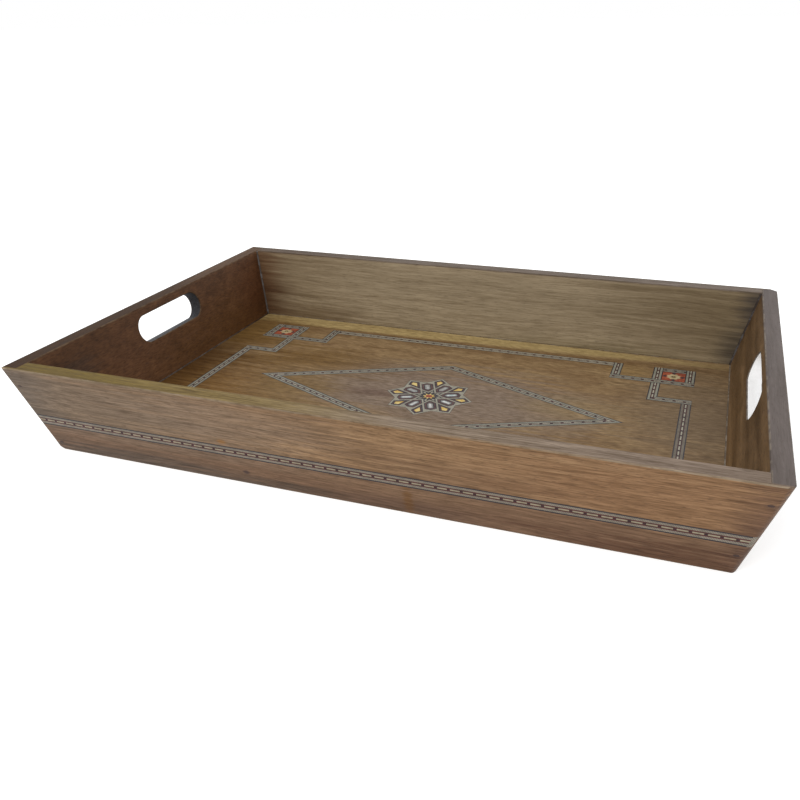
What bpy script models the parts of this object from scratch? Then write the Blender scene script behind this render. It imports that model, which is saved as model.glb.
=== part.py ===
"""A walnut serving tray with leaning walls, hand slots and inlaid bands, as separate pieces.

The tray stands on z = 0 with its middle at the origin. Its length runs along X, its width
along Y and its height along Z. All lengths are in metres.
"""

import math

import bmesh
import bpy
from mathutils import Matrix, Vector

# The whole tray, measured over the rims
TRAY_LENGTH = 0.500
TRAY_WIDTH = 0.340
WALL_HEIGHT = 0.069
WALL_LEAN = math.radians(15.5)

# Boards, measured square to their faces
END_BOARD_THICKNESS = 0.0114
LONG_BOARD_THICKNESS = 0.0108
FACING_THICKNESS = 0.0020
EASED_EDGE = 0.0008
EASED_EDGE_STEPS = 2

# The gap kept at every joint, and how far a cutter runs past what it cuts
JOINT_GAP = 0.0003
TESSERA_GAP = 0.0002
CUT_OVERRUN = 0.004

# Floor
FLOOR_TOP = 0.0092
FLOOR_SHEET_THICKNESS = 0.0026
BASE_PANEL_THICKNESS = 0.0040
TONGUE_DEPTH = 0.0040

# Hand slots: the drop runs down the inner face, from the rim to the slot's middle
SLOT_LENGTH = 0.0874
SLOT_HEIGHT = 0.0242
SLOT_DROP = 0.0186
SLOT_END_STEPS = 16

# Bands let into the walls: the drop runs down the outer face, from the rim to the band
BAND_WIDTH = 0.0082
BAND_THICKNESS = 0.0010
BAND_DROP = 0.0390

# Brads through the facings into the end boards: shares of the wall above and below its band
BRAD_RADIUS = 0.0007
BRAD_LENGTH = 0.0180
BRAD_SIDES = 8
BRAD_SHARP_DEGREES = 60
UPPER_BRAD_SHARE = 0.37
LEFT_LOWER_BRAD_SHARE = 0.68
RIGHT_LOWER_BRAD_SHARE = 0.35

# Floor inlay: the margins run from the walls' feet to the border's outer edge
INLAY_THICKNESS = 0.0012
STRIP_WIDTH = 0.0076
BORDER_END_MARGIN = 0.0264
BORDER_SIDE_MARGIN = 0.0248
CORNER_SQUARE = 0.0334
LONG_STRIP_STOP = 0.0590
SHORT_STRIP_STOP = 0.0606

# Corner tiles: an eight-pointed star in a square ground
TILE_STAR_APOTHEM = 0.0040

# Rhombus: shares of the border's length and width
RHOMBUS_LENGTH_SHARE = 0.770
RHOMBUS_WIDTH_SHARE = 0.565

# Rosette: two crossed squares round a strapwork star
ROSETTE_APOTHEM = 0.0248
ROSETTE_BAND = 0.0015
ROSETTE_BACKING = 0.0004
STRAP_DISTANCE = 0.0054
PETAL_BORDER = 0.0032
KITE_BORDER = 0.0016
CENTRE_STAR_APOTHEM = 0.0018
POINTS = 8
SQUARE_STEPS = 2
STRAP_STEPS = 3

# Worked out from the sizes above
END_BOARD_SPAN = END_BOARD_THICKNESS / math.cos(WALL_LEAN)
LONG_BOARD_SPAN = LONG_BOARD_THICKNESS / math.cos(WALL_LEAN)
FACING_SPAN = FACING_THICKNESS / math.cos(WALL_LEAN)
SLOPE_LENGTH = WALL_HEIGHT / math.cos(WALL_LEAN)
SHEET_BOTTOM = FLOOR_TOP - FLOOR_SHEET_THICKNESS
PANEL_TOP = SHEET_BOTTOM - JOINT_GAP
PANEL_BOTTOM = PANEL_TOP - BASE_PANEL_THICKNESS
INLAY_BOTTOM = FLOOR_TOP - INLAY_THICKNESS
BACKING_TOP = INLAY_BOTTOM + ROSETTE_BACKING
TESSERA_BOTTOM = BACKING_TOP + TESSERA_GAP
STRAP_INNER = STRAP_DISTANCE - ROSETTE_BAND / 2
STRAP_OUTER = STRAP_DISTANCE + ROSETTE_BAND / 2
ROSETTE_INNER = ROSETTE_APOTHEM - ROSETTE_BAND
HALF_STEP = math.pi / POINTS
SIDES = (("front", -1), ("back", 1))
ENDS = (("left", -1), ("right", 1))
BAND_FOOT = BAND_DROP + BAND_WIDTH
BRAD_DROPS = {
    "left_upper": UPPER_BRAD_SHARE * BAND_DROP,
    "left_lower": BAND_FOOT + LEFT_LOWER_BRAD_SHARE * (SLOPE_LENGTH - BAND_FOOT),
    "right_upper": UPPER_BRAD_SHARE * BAND_DROP,
    "right_lower": BAND_FOOT + RIGHT_LOWER_BRAD_SHARE * (SLOPE_LENGTH - BAND_FOOT),
}


def clear_scene():
    """Remove every object that the new file starts with."""
    for obj in list(bpy.data.objects):
        bpy.data.objects.remove(obj, do_unlink=True)


def finish(name, colour, roughness, metallic=0.0):
    """A plain material of one colour."""
    material = bpy.data.materials.new(name)
    material.use_nodes = True
    shader = material.node_tree.nodes["Principled BSDF"]
    shader.inputs["Base Color"].default_value = (*colour, 1.0)
    shader.inputs["Roughness"].default_value = roughness
    shader.inputs["Metallic"].default_value = metallic
    material.diffuse_color = (*colour, 1.0)
    return material


# Sizes of the leaning box at a height


def half_length(z):
    """Half the tray's outer length at the height z."""
    return TRAY_LENGTH / 2 - (WALL_HEIGHT - z) * math.tan(WALL_LEAN)


def half_width(z):
    """Half the tray's outer width at the height z."""
    return TRAY_WIDTH / 2 - (WALL_HEIGHT - z) * math.tan(WALL_LEAN)


def inner_half_length(z):
    """Half the length between the end boards at the height z."""
    return half_length(z) - END_BOARD_SPAN


def inner_half_width(z):
    """Half the width between the long boards at the height z."""
    return half_width(z) - FACING_SPAN - JOINT_GAP - LONG_BOARD_SPAN


def border_half_length():
    """Half the length of the inlaid border, to its outer edge."""
    return inner_half_length(FLOOR_TOP) - BORDER_END_MARGIN


def border_half_width():
    """Half the width of the inlaid border, to its outer edge."""
    return inner_half_width(FLOOR_TOP) - BORDER_SIDE_MARGIN


def ordered(side, near, far):
    """The two distances on one side of the middle, lower coordinate first."""
    return tuple(sorted((side * near, side * far)))


# Mesh tools


def make_object(name, mesh_data, material):
    """Turn a finished bmesh into an object with one material."""
    bmesh.ops.recalc_face_normals(mesh_data, faces=mesh_data.faces)
    if mesh_data.calc_volume(signed=True) < 0:
        bmesh.ops.reverse_faces(mesh_data, faces=mesh_data.faces)
    mesh = bpy.data.meshes.new(name)
    mesh_data.to_mesh(mesh)
    mesh_data.free()
    mesh.materials.append(material)
    obj = bpy.data.objects.new(name, mesh)
    bpy.context.collection.objects.link(obj)
    return obj


def make_cutter(name, mesh_data):
    """Turn a finished bmesh into a hidden object that only cuts."""
    obj = make_object(name, mesh_data, CUTTER_FINISH)
    obj.hide_render = True
    obj.display_type = "WIRE"
    return obj


def cut(obj, cutter, operation="DIFFERENCE"):
    """Take the cutter's shape out of the object, or join it on."""
    modifier = obj.modifiers.new(cutter.name, "BOOLEAN")
    modifier.operation = operation
    modifier.solver = "EXACT"
    modifier.object = cutter


def add_block(mesh_data, place, eased=()):
    """Add a six-sided block whose corners are place(i, j, k), with i, j and k each 0 or 1.

    Each entry of eased names an edge by its fixed sides, such as (1, None, 1) for the edge
    along the second direction where the first and third are at their far side.
    """
    made = bmesh.ops.create_cube(mesh_data, size=1)
    sides = {vert: tuple(int(part > 0) for part in vert.co) for vert in made["verts"]}
    chosen = []
    for edge in {edge for vert in sides for edge in vert.link_edges}:
        ends = [sides[vert] for vert in edge.verts]
        if any(all(matches(end, want) for end in ends) for want in eased):
            chosen.append(edge)
    for vert, side in sides.items():
        vert.co = place(*side)
    if chosen:
        bmesh.ops.bevel(
            mesh_data,
            geom=chosen,
            offset=EASED_EDGE,
            offset_type="OFFSET",
            segments=EASED_EDGE_STEPS,
            profile=0.5,
            affect="EDGES",
            material=-1,
        )


def matches(side, want):
    """Whether a corner lies on all the sides that want fixes."""
    return all(part is None or part == own for part, own in zip(want, side))


def leaning_place(x_span, y_span, low, high):
    """The corners of a block whose spans in X and Y depend on the height."""

    def place(i, j, k):
        z = (low, high)[k]
        return Vector((x_span(z)[i], y_span(z)[j], z))

    return place


def add_prism(mesh_data, outline, low, high, frame=None):
    """Add an outline grown from low to high along its frame's third direction."""
    frame = frame or Matrix()
    base = [mesh_data.verts.new(frame @ Vector((x, y, low))) for x, y in outline]
    face = mesh_data.faces.new(base)
    grown = bmesh.ops.extrude_face_region(mesh_data, geom=[face])
    moved = [part for part in grown["geom"] if isinstance(part, bmesh.types.BMVert)]
    rise = frame.to_3x3() @ Vector((0, 0, high - low))
    bmesh.ops.translate(mesh_data, verts=moved, vec=rise)


def prisms(outlines, low, high):
    """A bmesh with one upright prism for each outline."""
    mesh_data = bmesh.new()
    for outline in outlines:
        add_prism(mesh_data, outline, low, high)
    return mesh_data


# Outlines


def line_outline(lines):
    """Corners of an outline from its edges, each an outward angle and a distance."""
    corners = []
    for (first, near), (second, far) in zip(lines, lines[1:] + lines[:1]):
        turn = math.sin(second - first)
        x = (near * math.sin(second) - far * math.sin(first)) / turn
        y = (far * math.cos(first) - near * math.cos(second)) / turn
        corners.append((x, y))
    return corners


def inset_outline(outline, inset):
    """An anticlockwise outline with every edge moved inwards."""
    lines = []
    for (x, y), (next_x, next_y) in zip(outline, outline[1:] + outline[:1]):
        angle = math.atan2(x - next_x, next_y - y)
        lines.append((angle, x * math.cos(angle) + y * math.sin(angle) - inset))
    return line_outline(lines)


def star_outline(apothem, steps):
    """A star of eight points whose edges all pass at the apothem from the middle.

    Each edge's line runs from one point to the one that is so many steps further round.
    """
    tip = apothem / math.cos(steps * HALF_STEP)
    valley = apothem / math.cos((steps - 1) * HALF_STEP)
    radii = [tip, valley] * POINTS
    angles = [step * HALF_STEP for step in range(2 * POINTS)]
    return [(r * math.cos(a), r * math.sin(a)) for r, a in zip(radii, angles)]


def rectangle(x_low, x_high, y_low, y_high):
    """A rectangle's corners, anticlockwise."""
    return [(x_low, y_low), (x_high, y_low), (x_high, y_high), (x_low, y_high)]


def moved_outline(outline, x, y):
    """An outline carried to a new middle."""
    return [(own_x + x, own_y + y) for own_x, own_y in outline]


def mirrored(outline, side, end):
    """A right back outline carried to another quarter, still anticlockwise."""
    flipped = [(end * x, side * y) for x, y in outline]
    return flipped if side * end > 0 else flipped[::-1]


def circle(radius, sides):
    """A regular outline round the middle."""
    angles = [2 * math.pi * step / sides for step in range(sides)]
    return [(radius * math.cos(a), radius * math.sin(a)) for a in angles]


def slot_outline():
    """A slot with round ends, along the first direction."""
    radius = SLOT_HEIGHT / 2
    straight = SLOT_LENGTH / 2 - radius
    outline = []
    for middle, start in ((straight, -math.pi / 2), (-straight, math.pi / 2)):
        for step in range(SLOT_END_STEPS + 1):
            angle = start + math.pi * step / SLOT_END_STEPS
            outline.append((middle + radius * math.cos(angle), radius * math.sin(angle)))
    return outline


# Frames on the walls' outer faces


def wall_frame(outward_x, outward_y):
    """A frame at the middle of a wall's top outer edge: along it, down its slope, outwards."""
    level = Vector((outward_x, outward_y, 0))
    up = Vector((0, 0, 1))
    down = -level * math.sin(WALL_LEAN) - up * math.cos(WALL_LEAN)
    outward = level * math.cos(WALL_LEAN) - up * math.sin(WALL_LEAN)
    along = down.cross(outward)
    origin = Vector((outward_x * TRAY_LENGTH / 2, outward_y * TRAY_WIDTH / 2, WALL_HEIGHT))
    frame = Matrix((along, down, outward)).transposed().to_4x4()
    frame.translation = origin
    return frame


# Walls


def end_board(name, end):
    """One end board, which runs the tray's full width behind the facings."""

    def x_span(z):
        return ordered(end, inner_half_length(z), half_length(z))

    def y_span(z):
        reach = half_width(z) - FACING_SPAN - JOINT_GAP
        return (-reach, reach)

    outer = int(end > 0)
    eased = ((outer, None, 1), (1 - outer, None, 1), (outer, None, 0))
    mesh_data = bmesh.new()
    add_block(mesh_data, leaning_place(x_span, y_span, 0, WALL_HEIGHT), eased)
    return make_object(name + "_end_board", mesh_data, WALNUT_DARK)


def long_board(name, side):
    """One long board, which butts between the end boards."""

    def x_span(z):
        reach = inner_half_length(z) - JOINT_GAP
        return (-reach, reach)

    def y_span(z):
        return ordered(side, inner_half_width(z), inner_half_width(z) + LONG_BOARD_SPAN)

    inner = int(side < 0)
    mesh_data = bmesh.new()
    add_block(mesh_data, leaning_place(x_span, y_span, 0, WALL_HEIGHT), ((None, inner, 1),))
    return make_object(name + "_board", mesh_data, WALNUT)


def facing(name, side):
    """One walnut facing, which covers a long board and the ends of the end boards."""

    def x_span(z):
        return (-half_length(z), half_length(z))

    def y_span(z):
        return ordered(side, half_width(z) - FACING_SPAN, half_width(z))

    outer = int(side > 0)
    eased = (
        (None, outer, 1),
        (None, outer, 0),
        (0, outer, None),
        (1, outer, None),
        (0, None, 1),
        (1, None, 1),
        (0, None, 0),
        (1, None, 0),
    )
    mesh_data = bmesh.new()
    add_block(mesh_data, leaning_place(x_span, y_span, 0, WALL_HEIGHT), eased)
    return make_object(name + "_facing", mesh_data, WALNUT)


def slot_cutter(name, end):
    """The hand slot through an end board, cut square to it."""
    drop = SLOT_DROP + END_BOARD_THICKNESS * math.tan(WALL_LEAN)
    frame = wall_frame(end, 0) @ Matrix.Translation((0, drop, 0))
    mesh_data = bmesh.new()
    depth = END_BOARD_THICKNESS + CUT_OVERRUN
    add_prism(mesh_data, slot_outline(), -depth, CUT_OVERRUN, frame)
    return make_cutter(name + "_slot_cutter", mesh_data)


def band_groove(name, outward_x, outward_y):
    """The groove down a wall's outer face that holds its band, open at both ends."""
    reach = max(TRAY_LENGTH, TRAY_WIDTH) / 2 + CUT_OVERRUN
    low = BAND_DROP - JOINT_GAP / 2
    high = BAND_FOOT + JOINT_GAP / 2
    mesh_data = bmesh.new()
    outline = rectangle(-reach, reach, low, high)
    depth = BAND_THICKNESS + JOINT_GAP
    add_prism(mesh_data, outline, -depth, CUT_OVERRUN, wall_frame(outward_x, outward_y))
    return make_cutter(name + "_band_groove", mesh_data)


def band(name, outward_x, outward_y):
    """One inlaid band, flush with the wall and cut off flush with its ends."""
    frame = wall_frame(outward_x, outward_y)
    drops = (BAND_DROP + JOINT_GAP / 2, BAND_FOOT - JOINT_GAP / 2)
    depths = (-BAND_THICKNESS, 0)

    def place(i, j, k):
        point = frame @ Vector((0, drops[j], depths[k]))
        if outward_x:
            reach = half_width(point.z) - FACING_SPAN - JOINT_GAP
        else:
            reach = half_length(point.z)
        return frame @ Vector(((-reach, reach)[i], drops[j], depths[k]))

    eased = () if outward_x else ((0, None, 1), (1, None, 1))
    mesh_data = bmesh.new()
    add_block(mesh_data, place, eased)
    return make_object(name + "_band", mesh_data, BONE)


# Brads


def brad_frames(side):
    """Where one facing's brads go in, over the middle of each end board's edge, by name."""
    frames = {}
    wall = wall_frame(0, side)
    for place_name, drop in BRAD_DROPS.items():
        end = 1 if place_name.startswith("right") else -1
        height = (wall @ Vector((0, drop, 0))).z
        along = (half_length(height) - END_BOARD_SPAN / 2) * end * -side
        frames[place_name] = wall @ Matrix.Translation((along, drop, 0))
    return frames


def brad(name, frame):
    """A headless brad, set in flush."""
    mesh_data = bmesh.new()
    add_prism(mesh_data, circle(BRAD_RADIUS, BRAD_SIDES), -BRAD_LENGTH, 0, frame)
    obj = make_object(name + "_brad", mesh_data, STEEL)
    obj.data.shade_smooth()
    obj.data.set_sharp_from_angle(angle=math.radians(BRAD_SHARP_DEGREES))


def brad_holes():
    """The holes of all brads."""
    mesh_data = bmesh.new()
    outline = circle(BRAD_RADIUS + JOINT_GAP, BRAD_SIDES)
    for _, side in SIDES:
        for frame in brad_frames(side).values():
            add_prism(mesh_data, outline, -BRAD_LENGTH - JOINT_GAP, CUT_OVERRUN, frame)
    return make_cutter("brad_hole_cutter", mesh_data)


# Floor


def panel_half_sizes():
    """Half the base panel's length and width, with its tongues."""
    middle = (PANEL_TOP + PANEL_BOTTOM) / 2
    return (inner_half_length(middle) + TONGUE_DEPTH, inner_half_width(middle) + TONGUE_DEPTH)


def base_panel():
    """The panel whose edges sit in the walls' grooves."""
    x, y = panel_half_sizes()
    mesh_data = prisms([rectangle(-x, x, -y, y)], PANEL_BOTTOM, PANEL_TOP)
    return make_object("base_panel", mesh_data, PLYWOOD)


def panel_groove():
    """The groove that runs round inside the walls."""
    x, y = (size + JOINT_GAP for size in panel_half_sizes())
    low = PANEL_BOTTOM - JOINT_GAP
    high = PANEL_TOP + JOINT_GAP
    mesh_data = prisms([rectangle(-x, x, -y, y)], low, high)
    return make_cutter("panel_groove_cutter", mesh_data)


def floor_sheet():
    """The walnut sheet on the base panel, which fills the floor between the walls."""

    def x_span(z):
        reach = inner_half_length(z) - JOINT_GAP
        return (-reach, reach)

    def y_span(z):
        reach = inner_half_width(z) - JOINT_GAP
        return (-reach, reach)

    mesh_data = bmesh.new()
    add_block(mesh_data, leaning_place(x_span, y_span, SHEET_BOTTOM, FLOOR_TOP))
    return make_object("floor_sheet", mesh_data, WALNUT_GOLD)


# Floor inlay, each outline nominal, so that neighbours touch


def long_strip(side):
    """The border strip along the front or back."""
    reach = border_half_length() - LONG_STRIP_STOP - STRIP_WIDTH
    edge = border_half_width()
    return mirrored(rectangle(-reach, reach, edge - STRIP_WIDTH, edge), side, 1)


def short_strip(end):
    """The border strip along the left or right."""
    reach = border_half_width() - SHORT_STRIP_STOP - STRIP_WIDTH
    edge = border_half_length()
    return mirrored(rectangle(edge - STRIP_WIDTH, edge, -reach, reach), 1, end)


def fret_outline(side, end):
    """The outer line of one corner fret: two steps of the border, crossed by a square frame."""
    x = border_half_length()
    y = border_half_width()
    long_leg = x - LONG_STRIP_STOP
    short_leg = y - SHORT_STRIP_STOP
    square_x = x - CORNER_SQUARE
    square_y = y - CORNER_SQUARE
    outline = [
        (long_leg - STRIP_WIDTH, square_y),
        (square_x, square_y),
        (square_x, short_leg - STRIP_WIDTH),
        (x, short_leg - STRIP_WIDTH),
        (x, short_leg),
        (square_x + STRIP_WIDTH, short_leg),
        (square_x + STRIP_WIDTH, square_y),
        (x, square_y),
        (x, y),
        (square_x, y),
        (square_x, square_y + STRIP_WIDTH),
        (long_leg, square_y + STRIP_WIDTH),
        (long_leg, y),
        (long_leg - STRIP_WIDTH, y),
    ]
    return mirrored(outline, side, end)


def tile_square(side, end):
    """The square opening of a corner frame."""
    high_x = border_half_length() - STRIP_WIDTH
    high_y = border_half_width() - STRIP_WIDTH
    size = CORNER_SQUARE - 2 * STRIP_WIDTH
    return mirrored(rectangle(high_x - size, high_x, high_y - size, high_y), side, end)


def tile_star(side, end, apothem):
    """The star in a corner tile."""
    x = end * (border_half_length() - CORNER_SQUARE / 2)
    y = side * (border_half_width() - CORNER_SQUARE / 2)
    return moved_outline(star_outline(apothem, SQUARE_STEPS), x, y)


def rhombus_strip(side, end):
    """One side of the rhombus, mitred on the middle lines."""
    x = RHOMBUS_LENGTH_SHARE * border_half_length()
    y = RHOMBUS_WIDTH_SHARE * border_half_width()
    slope = math.atan2(y, x)
    inner_x = x - STRIP_WIDTH / math.sin(slope)
    inner_y = y - STRIP_WIDTH / math.cos(slope)
    return mirrored([(inner_x, 0), (x, 0), (0, y), (0, inner_y)], side, end)


def petals():
    """The strapwork's eight six-sided openings."""
    shape = (
        (math.pi / POINTS, ROSETTE_INNER),
        (math.pi / 2, STRAP_INNER),
        (math.pi * 3 / 4, -STRAP_OUTER),
        (math.pi * 5 / 4, -STRAP_OUTER),
        (math.pi * 3 / 2, STRAP_INNER),
        (-math.pi / POINTS, ROSETTE_INNER),
    )
    return turned_shapes(shape, HALF_STEP)


def kites():
    """The strapwork's eight kite-shaped openings, in the outer points."""
    side_turn = math.pi / 2 + HALF_STEP
    shape = (
        (math.pi / 4, ROSETTE_INNER),
        (side_turn, -STRAP_OUTER),
        (-side_turn, -STRAP_OUTER),
        (-math.pi / 4, ROSETTE_INNER),
    )
    return turned_shapes(shape, 0)


def turned_shapes(shape, start):
    """A shape's outline at each of the eight directions, the first at the angle start."""
    outlines = []
    for step in range(POINTS):
        turn = start + 2 * HALF_STEP * step
        outlines.append(line_outline([(angle + turn, distance) for angle, distance in shape]))
    return outlines


def inlay_piece(name, outline, inset, material, bottom=INLAY_BOTTOM):
    """A flush piece of inlay, its outline drawn in by the inset."""
    mesh_data = prisms([inset_outline(outline, inset)], bottom, FLOOR_TOP)
    return make_object(name, mesh_data, material)


def inlay_cutter(name, outlines, bottom=INLAY_BOTTOM - CUT_OVERRUN):
    """A cutter from the bottom up through the floor's surface."""
    return make_cutter(name, prisms(outlines, bottom, FLOOR_TOP + CUT_OVERRUN))


def floor_recess(strips):
    """The cutters of the inlay's recess, as one collection."""
    low = INLAY_BOTTOM - JOINT_GAP
    high = FLOOR_TOP + CUT_OVERRUN
    gap = JOINT_GAP / 2
    outlines = [inset_outline(strip, -gap) for strip in strips]
    outlines.append(star_outline(ROSETTE_APOTHEM + JOINT_GAP, SQUARE_STEPS))
    cutters = bpy.data.collections.new("floor_recess_cutters")
    bpy.context.scene.collection.children.link(cutters)
    for number, outline in enumerate(outlines):
        cutter = make_cutter(f"floor_recess_cutter_{number}", prisms([outline], low, high))
        bpy.context.collection.objects.unlink(cutter)
        cutters.objects.link(cutter)
    return cutters


def cut_collection(obj, cutters):
    """Take the shapes of a whole collection out of the object."""
    modifier = obj.modifiers.new(cutters.name, "BOOLEAN")
    modifier.operation = "DIFFERENCE"
    modifier.solver = "EXACT"
    modifier.operand_type = "COLLECTION"
    modifier.collection = cutters


# Assemblies


def make_walls():
    """The four walls with their facings, grooves, slots, bands and brads."""
    groove = panel_groove()
    holes = brad_holes()
    for name, end in ENDS:
        board = end_board(name, end)
        cut(board, groove)
        cut(board, slot_cutter(name, end))
        cut(board, band_groove(name, end, 0))
        cut(board, holes)
        band(name, end, 0)
    for name, side in SIDES:
        board = long_board(name, side)
        cut(board, groove)
        cover = facing(name, side)
        cut(cover, band_groove(name, 0, side))
        cut(cover, holes)
        band(name, 0, side)
        for place, frame in brad_frames(side).items():
            brad(name + "_" + place, frame)


def make_border():
    """The border's strips, corner frets and corner tiles, and their nominal outlines."""
    gap = JOINT_GAP / 2
    strips = {name + "_border_strip": long_strip(side) for name, side in SIDES}
    strips |= {name + "_border_strip": short_strip(end) for name, end in ENDS}
    for name, outline in strips.items():
        inlay_piece(name, outline, gap, BONE)
    outlines = list(strips.values())
    for side_name, side in SIDES:
        for end_name, end in ENDS:
            outlines.append(make_corner(side_name + "_" + end_name, side, end))
    return outlines


def make_corner(name, side, end):
    """One corner fret with its tile, and its nominal outline."""
    gap = JOINT_GAP / 2
    outline = fret_outline(side, end)
    fret = inlay_piece(name + "_corner_fret", outline, gap, BONE)
    opening = tile_square(side, end)
    cut(fret, inlay_cutter(name + "_tile_cutter", [inset_outline(opening, -gap)]))
    ground = inlay_piece(name + "_tile_ground", opening, gap, RED_WOOD)
    hole = tile_star(side, end, TILE_STAR_APOTHEM)
    cut(ground, inlay_cutter(name + "_tile_star_cutter", [hole]))
    star = tile_star(side, end, TILE_STAR_APOTHEM - TESSERA_GAP)
    inlay_piece(name + "_tile_star", star, 0, YELLOW_WOOD)
    return outline


def make_rhombus():
    """The rhombus's four strips, and their nominal outlines."""
    outlines = []
    for side_name, side in SIDES:
        for end_name, end in ENDS:
            strip = rhombus_strip(side, end)
            name = side_name + "_" + end_name + "_rhombus_strip"
            inlay_piece(name, strip, JOINT_GAP / 2, BONE)
            outlines.append(strip)
    return outlines


def make_rosette():
    """The rosette: strapwork, and a dark ground that holds pearls, kites and a star."""
    middle = star_outline(STRAP_INNER, STRAP_STEPS)
    star = star_outline(ROSETTE_APOTHEM, SQUARE_STEPS)
    strapwork = inlay_piece("rosette_strapwork", star, 0, BONE, TESSERA_BOTTOM)
    cut(strapwork, inlay_cutter("strapwork_cutter", petals() + kites() + [middle]))

    ground = make_object("rosette_ground", prisms([star], INLAY_BOTTOM, BACKING_TOP), DARK_WOOD)
    fields = [inset_outline(outline, TESSERA_GAP) for outline in petals() + kites()]
    fields.append(star_outline(STRAP_INNER - TESSERA_GAP, STRAP_STEPS))
    field_mesh = prisms(fields, (INLAY_BOTTOM + BACKING_TOP) / 2, FLOOR_TOP)
    cut(ground, make_cutter("rosette_fields", field_mesh), "UNION")

    pockets = [inset_outline(outline, PETAL_BORDER) for outline in petals()]
    pockets += [inset_outline(outline, KITE_BORDER) for outline in kites()]
    pockets.append(star_outline(CENTRE_STAR_APOTHEM, STRAP_STEPS))
    cut(ground, inlay_cutter("rosette_pockets", pockets, BACKING_TOP))

    pearl_inset = PETAL_BORDER + TESSERA_GAP
    kite_inset = KITE_BORDER + TESSERA_GAP
    for number, (petal, kite) in enumerate(zip(petals(), kites()), start=1):
        inlay_piece(f"rosette_pearl_{number}", petal, pearl_inset, PEARL, TESSERA_BOTTOM)
        inlay_piece(f"rosette_kite_{number}", kite, kite_inset, YELLOW_WOOD, TESSERA_BOTTOM)
    centre_star = star_outline(CENTRE_STAR_APOTHEM - TESSERA_GAP, STRAP_STEPS)
    inlay_piece("rosette_centre_star", centre_star, 0, YELLOW_WOOD, TESSERA_BOTTOM)


clear_scene()

CUTTER_FINISH = finish("cutter", (0.5, 0.5, 0.5), 0.5)
WALNUT = finish("walnut", (0.20, 0.125, 0.072), 0.42)
WALNUT_DARK = finish("walnut_dark", (0.11, 0.060, 0.034), 0.42)
WALNUT_GOLD = finish("walnut_gold", (0.21, 0.135, 0.062), 0.38)
PLYWOOD = finish("plywood", (0.42, 0.29, 0.17), 0.65)
BONE = finish("bone", (0.36, 0.34, 0.28), 0.40)
DARK_WOOD = finish("dark_wood", (0.045, 0.028, 0.028), 0.40)
YELLOW_WOOD = finish("yellow_wood", (0.60, 0.44, 0.14), 0.40)
RED_WOOD = finish("red_wood", (0.38, 0.095, 0.040), 0.40)
PEARL = finish("pearl", (0.62, 0.64, 0.62), 0.25)
STEEL = finish("steel", (0.30, 0.29, 0.28), 0.45, metallic=1.0)

make_walls()
base_panel()
sheet = floor_sheet()
recess_outlines = make_border() + make_rhombus()
make_rosette()
cut_collection(sheet, floor_recess(recess_outlines))
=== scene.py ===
"""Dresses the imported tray: walnut boards, stick-built inlay, joint filler, light and camera.

All lengths are in metres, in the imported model's own frame.
"""

import functools
import logging
import math
from collections.abc import Callable, Iterable, Sequence
from dataclasses import dataclass
from enum import Enum

import bmesh
import bpy
from bmesh.types import BMEdge, BMesh, BMFace, BMVert
from bpy.types import Material, NodeSocket, NodeTree, Object
from mathutils import Matrix, Vector, noise


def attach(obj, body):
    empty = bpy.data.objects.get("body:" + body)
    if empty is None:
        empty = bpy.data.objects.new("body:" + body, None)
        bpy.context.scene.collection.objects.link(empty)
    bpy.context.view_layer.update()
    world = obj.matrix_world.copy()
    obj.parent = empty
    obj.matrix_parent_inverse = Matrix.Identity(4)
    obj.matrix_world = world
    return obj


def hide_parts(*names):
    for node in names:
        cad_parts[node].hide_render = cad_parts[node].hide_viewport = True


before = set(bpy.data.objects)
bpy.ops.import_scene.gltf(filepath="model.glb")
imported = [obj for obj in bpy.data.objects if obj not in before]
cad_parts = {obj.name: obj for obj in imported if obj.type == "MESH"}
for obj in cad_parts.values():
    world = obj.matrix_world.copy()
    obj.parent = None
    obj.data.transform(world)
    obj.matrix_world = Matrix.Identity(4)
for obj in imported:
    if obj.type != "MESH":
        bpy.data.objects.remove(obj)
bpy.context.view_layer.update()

Triple = tuple[float, float, float]
Point = tuple[float, float]
Outline = list[Point]
Cut = tuple[Vector, Vector]
Row = tuple[Point, Point, float, Sequence[Cut]]
Rings = Sequence[tuple[float, int]]

MM = 0.001
CUT_SLACK = 0.0001 * MM
SHORTEST_EDGE = 0.003 * MM
MERGE_REACH = 0.001 * MM
ROUNDING_STEPS = 4
WAYS = (-1, 1)
WHITE = (1.0, 1.0, 1.0)
POINTS = 8
HALF_STEP = math.pi / POINTS
SIDES = (("front", -1), ("back", 1))
ENDS = (("left", -1), ("right", 1))
CORNERS = tuple((front + "_" + left, side, end) for front, side in SIDES for left, end in ENDS)

log = logging.getLogger("tray")


# Shader building


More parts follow.
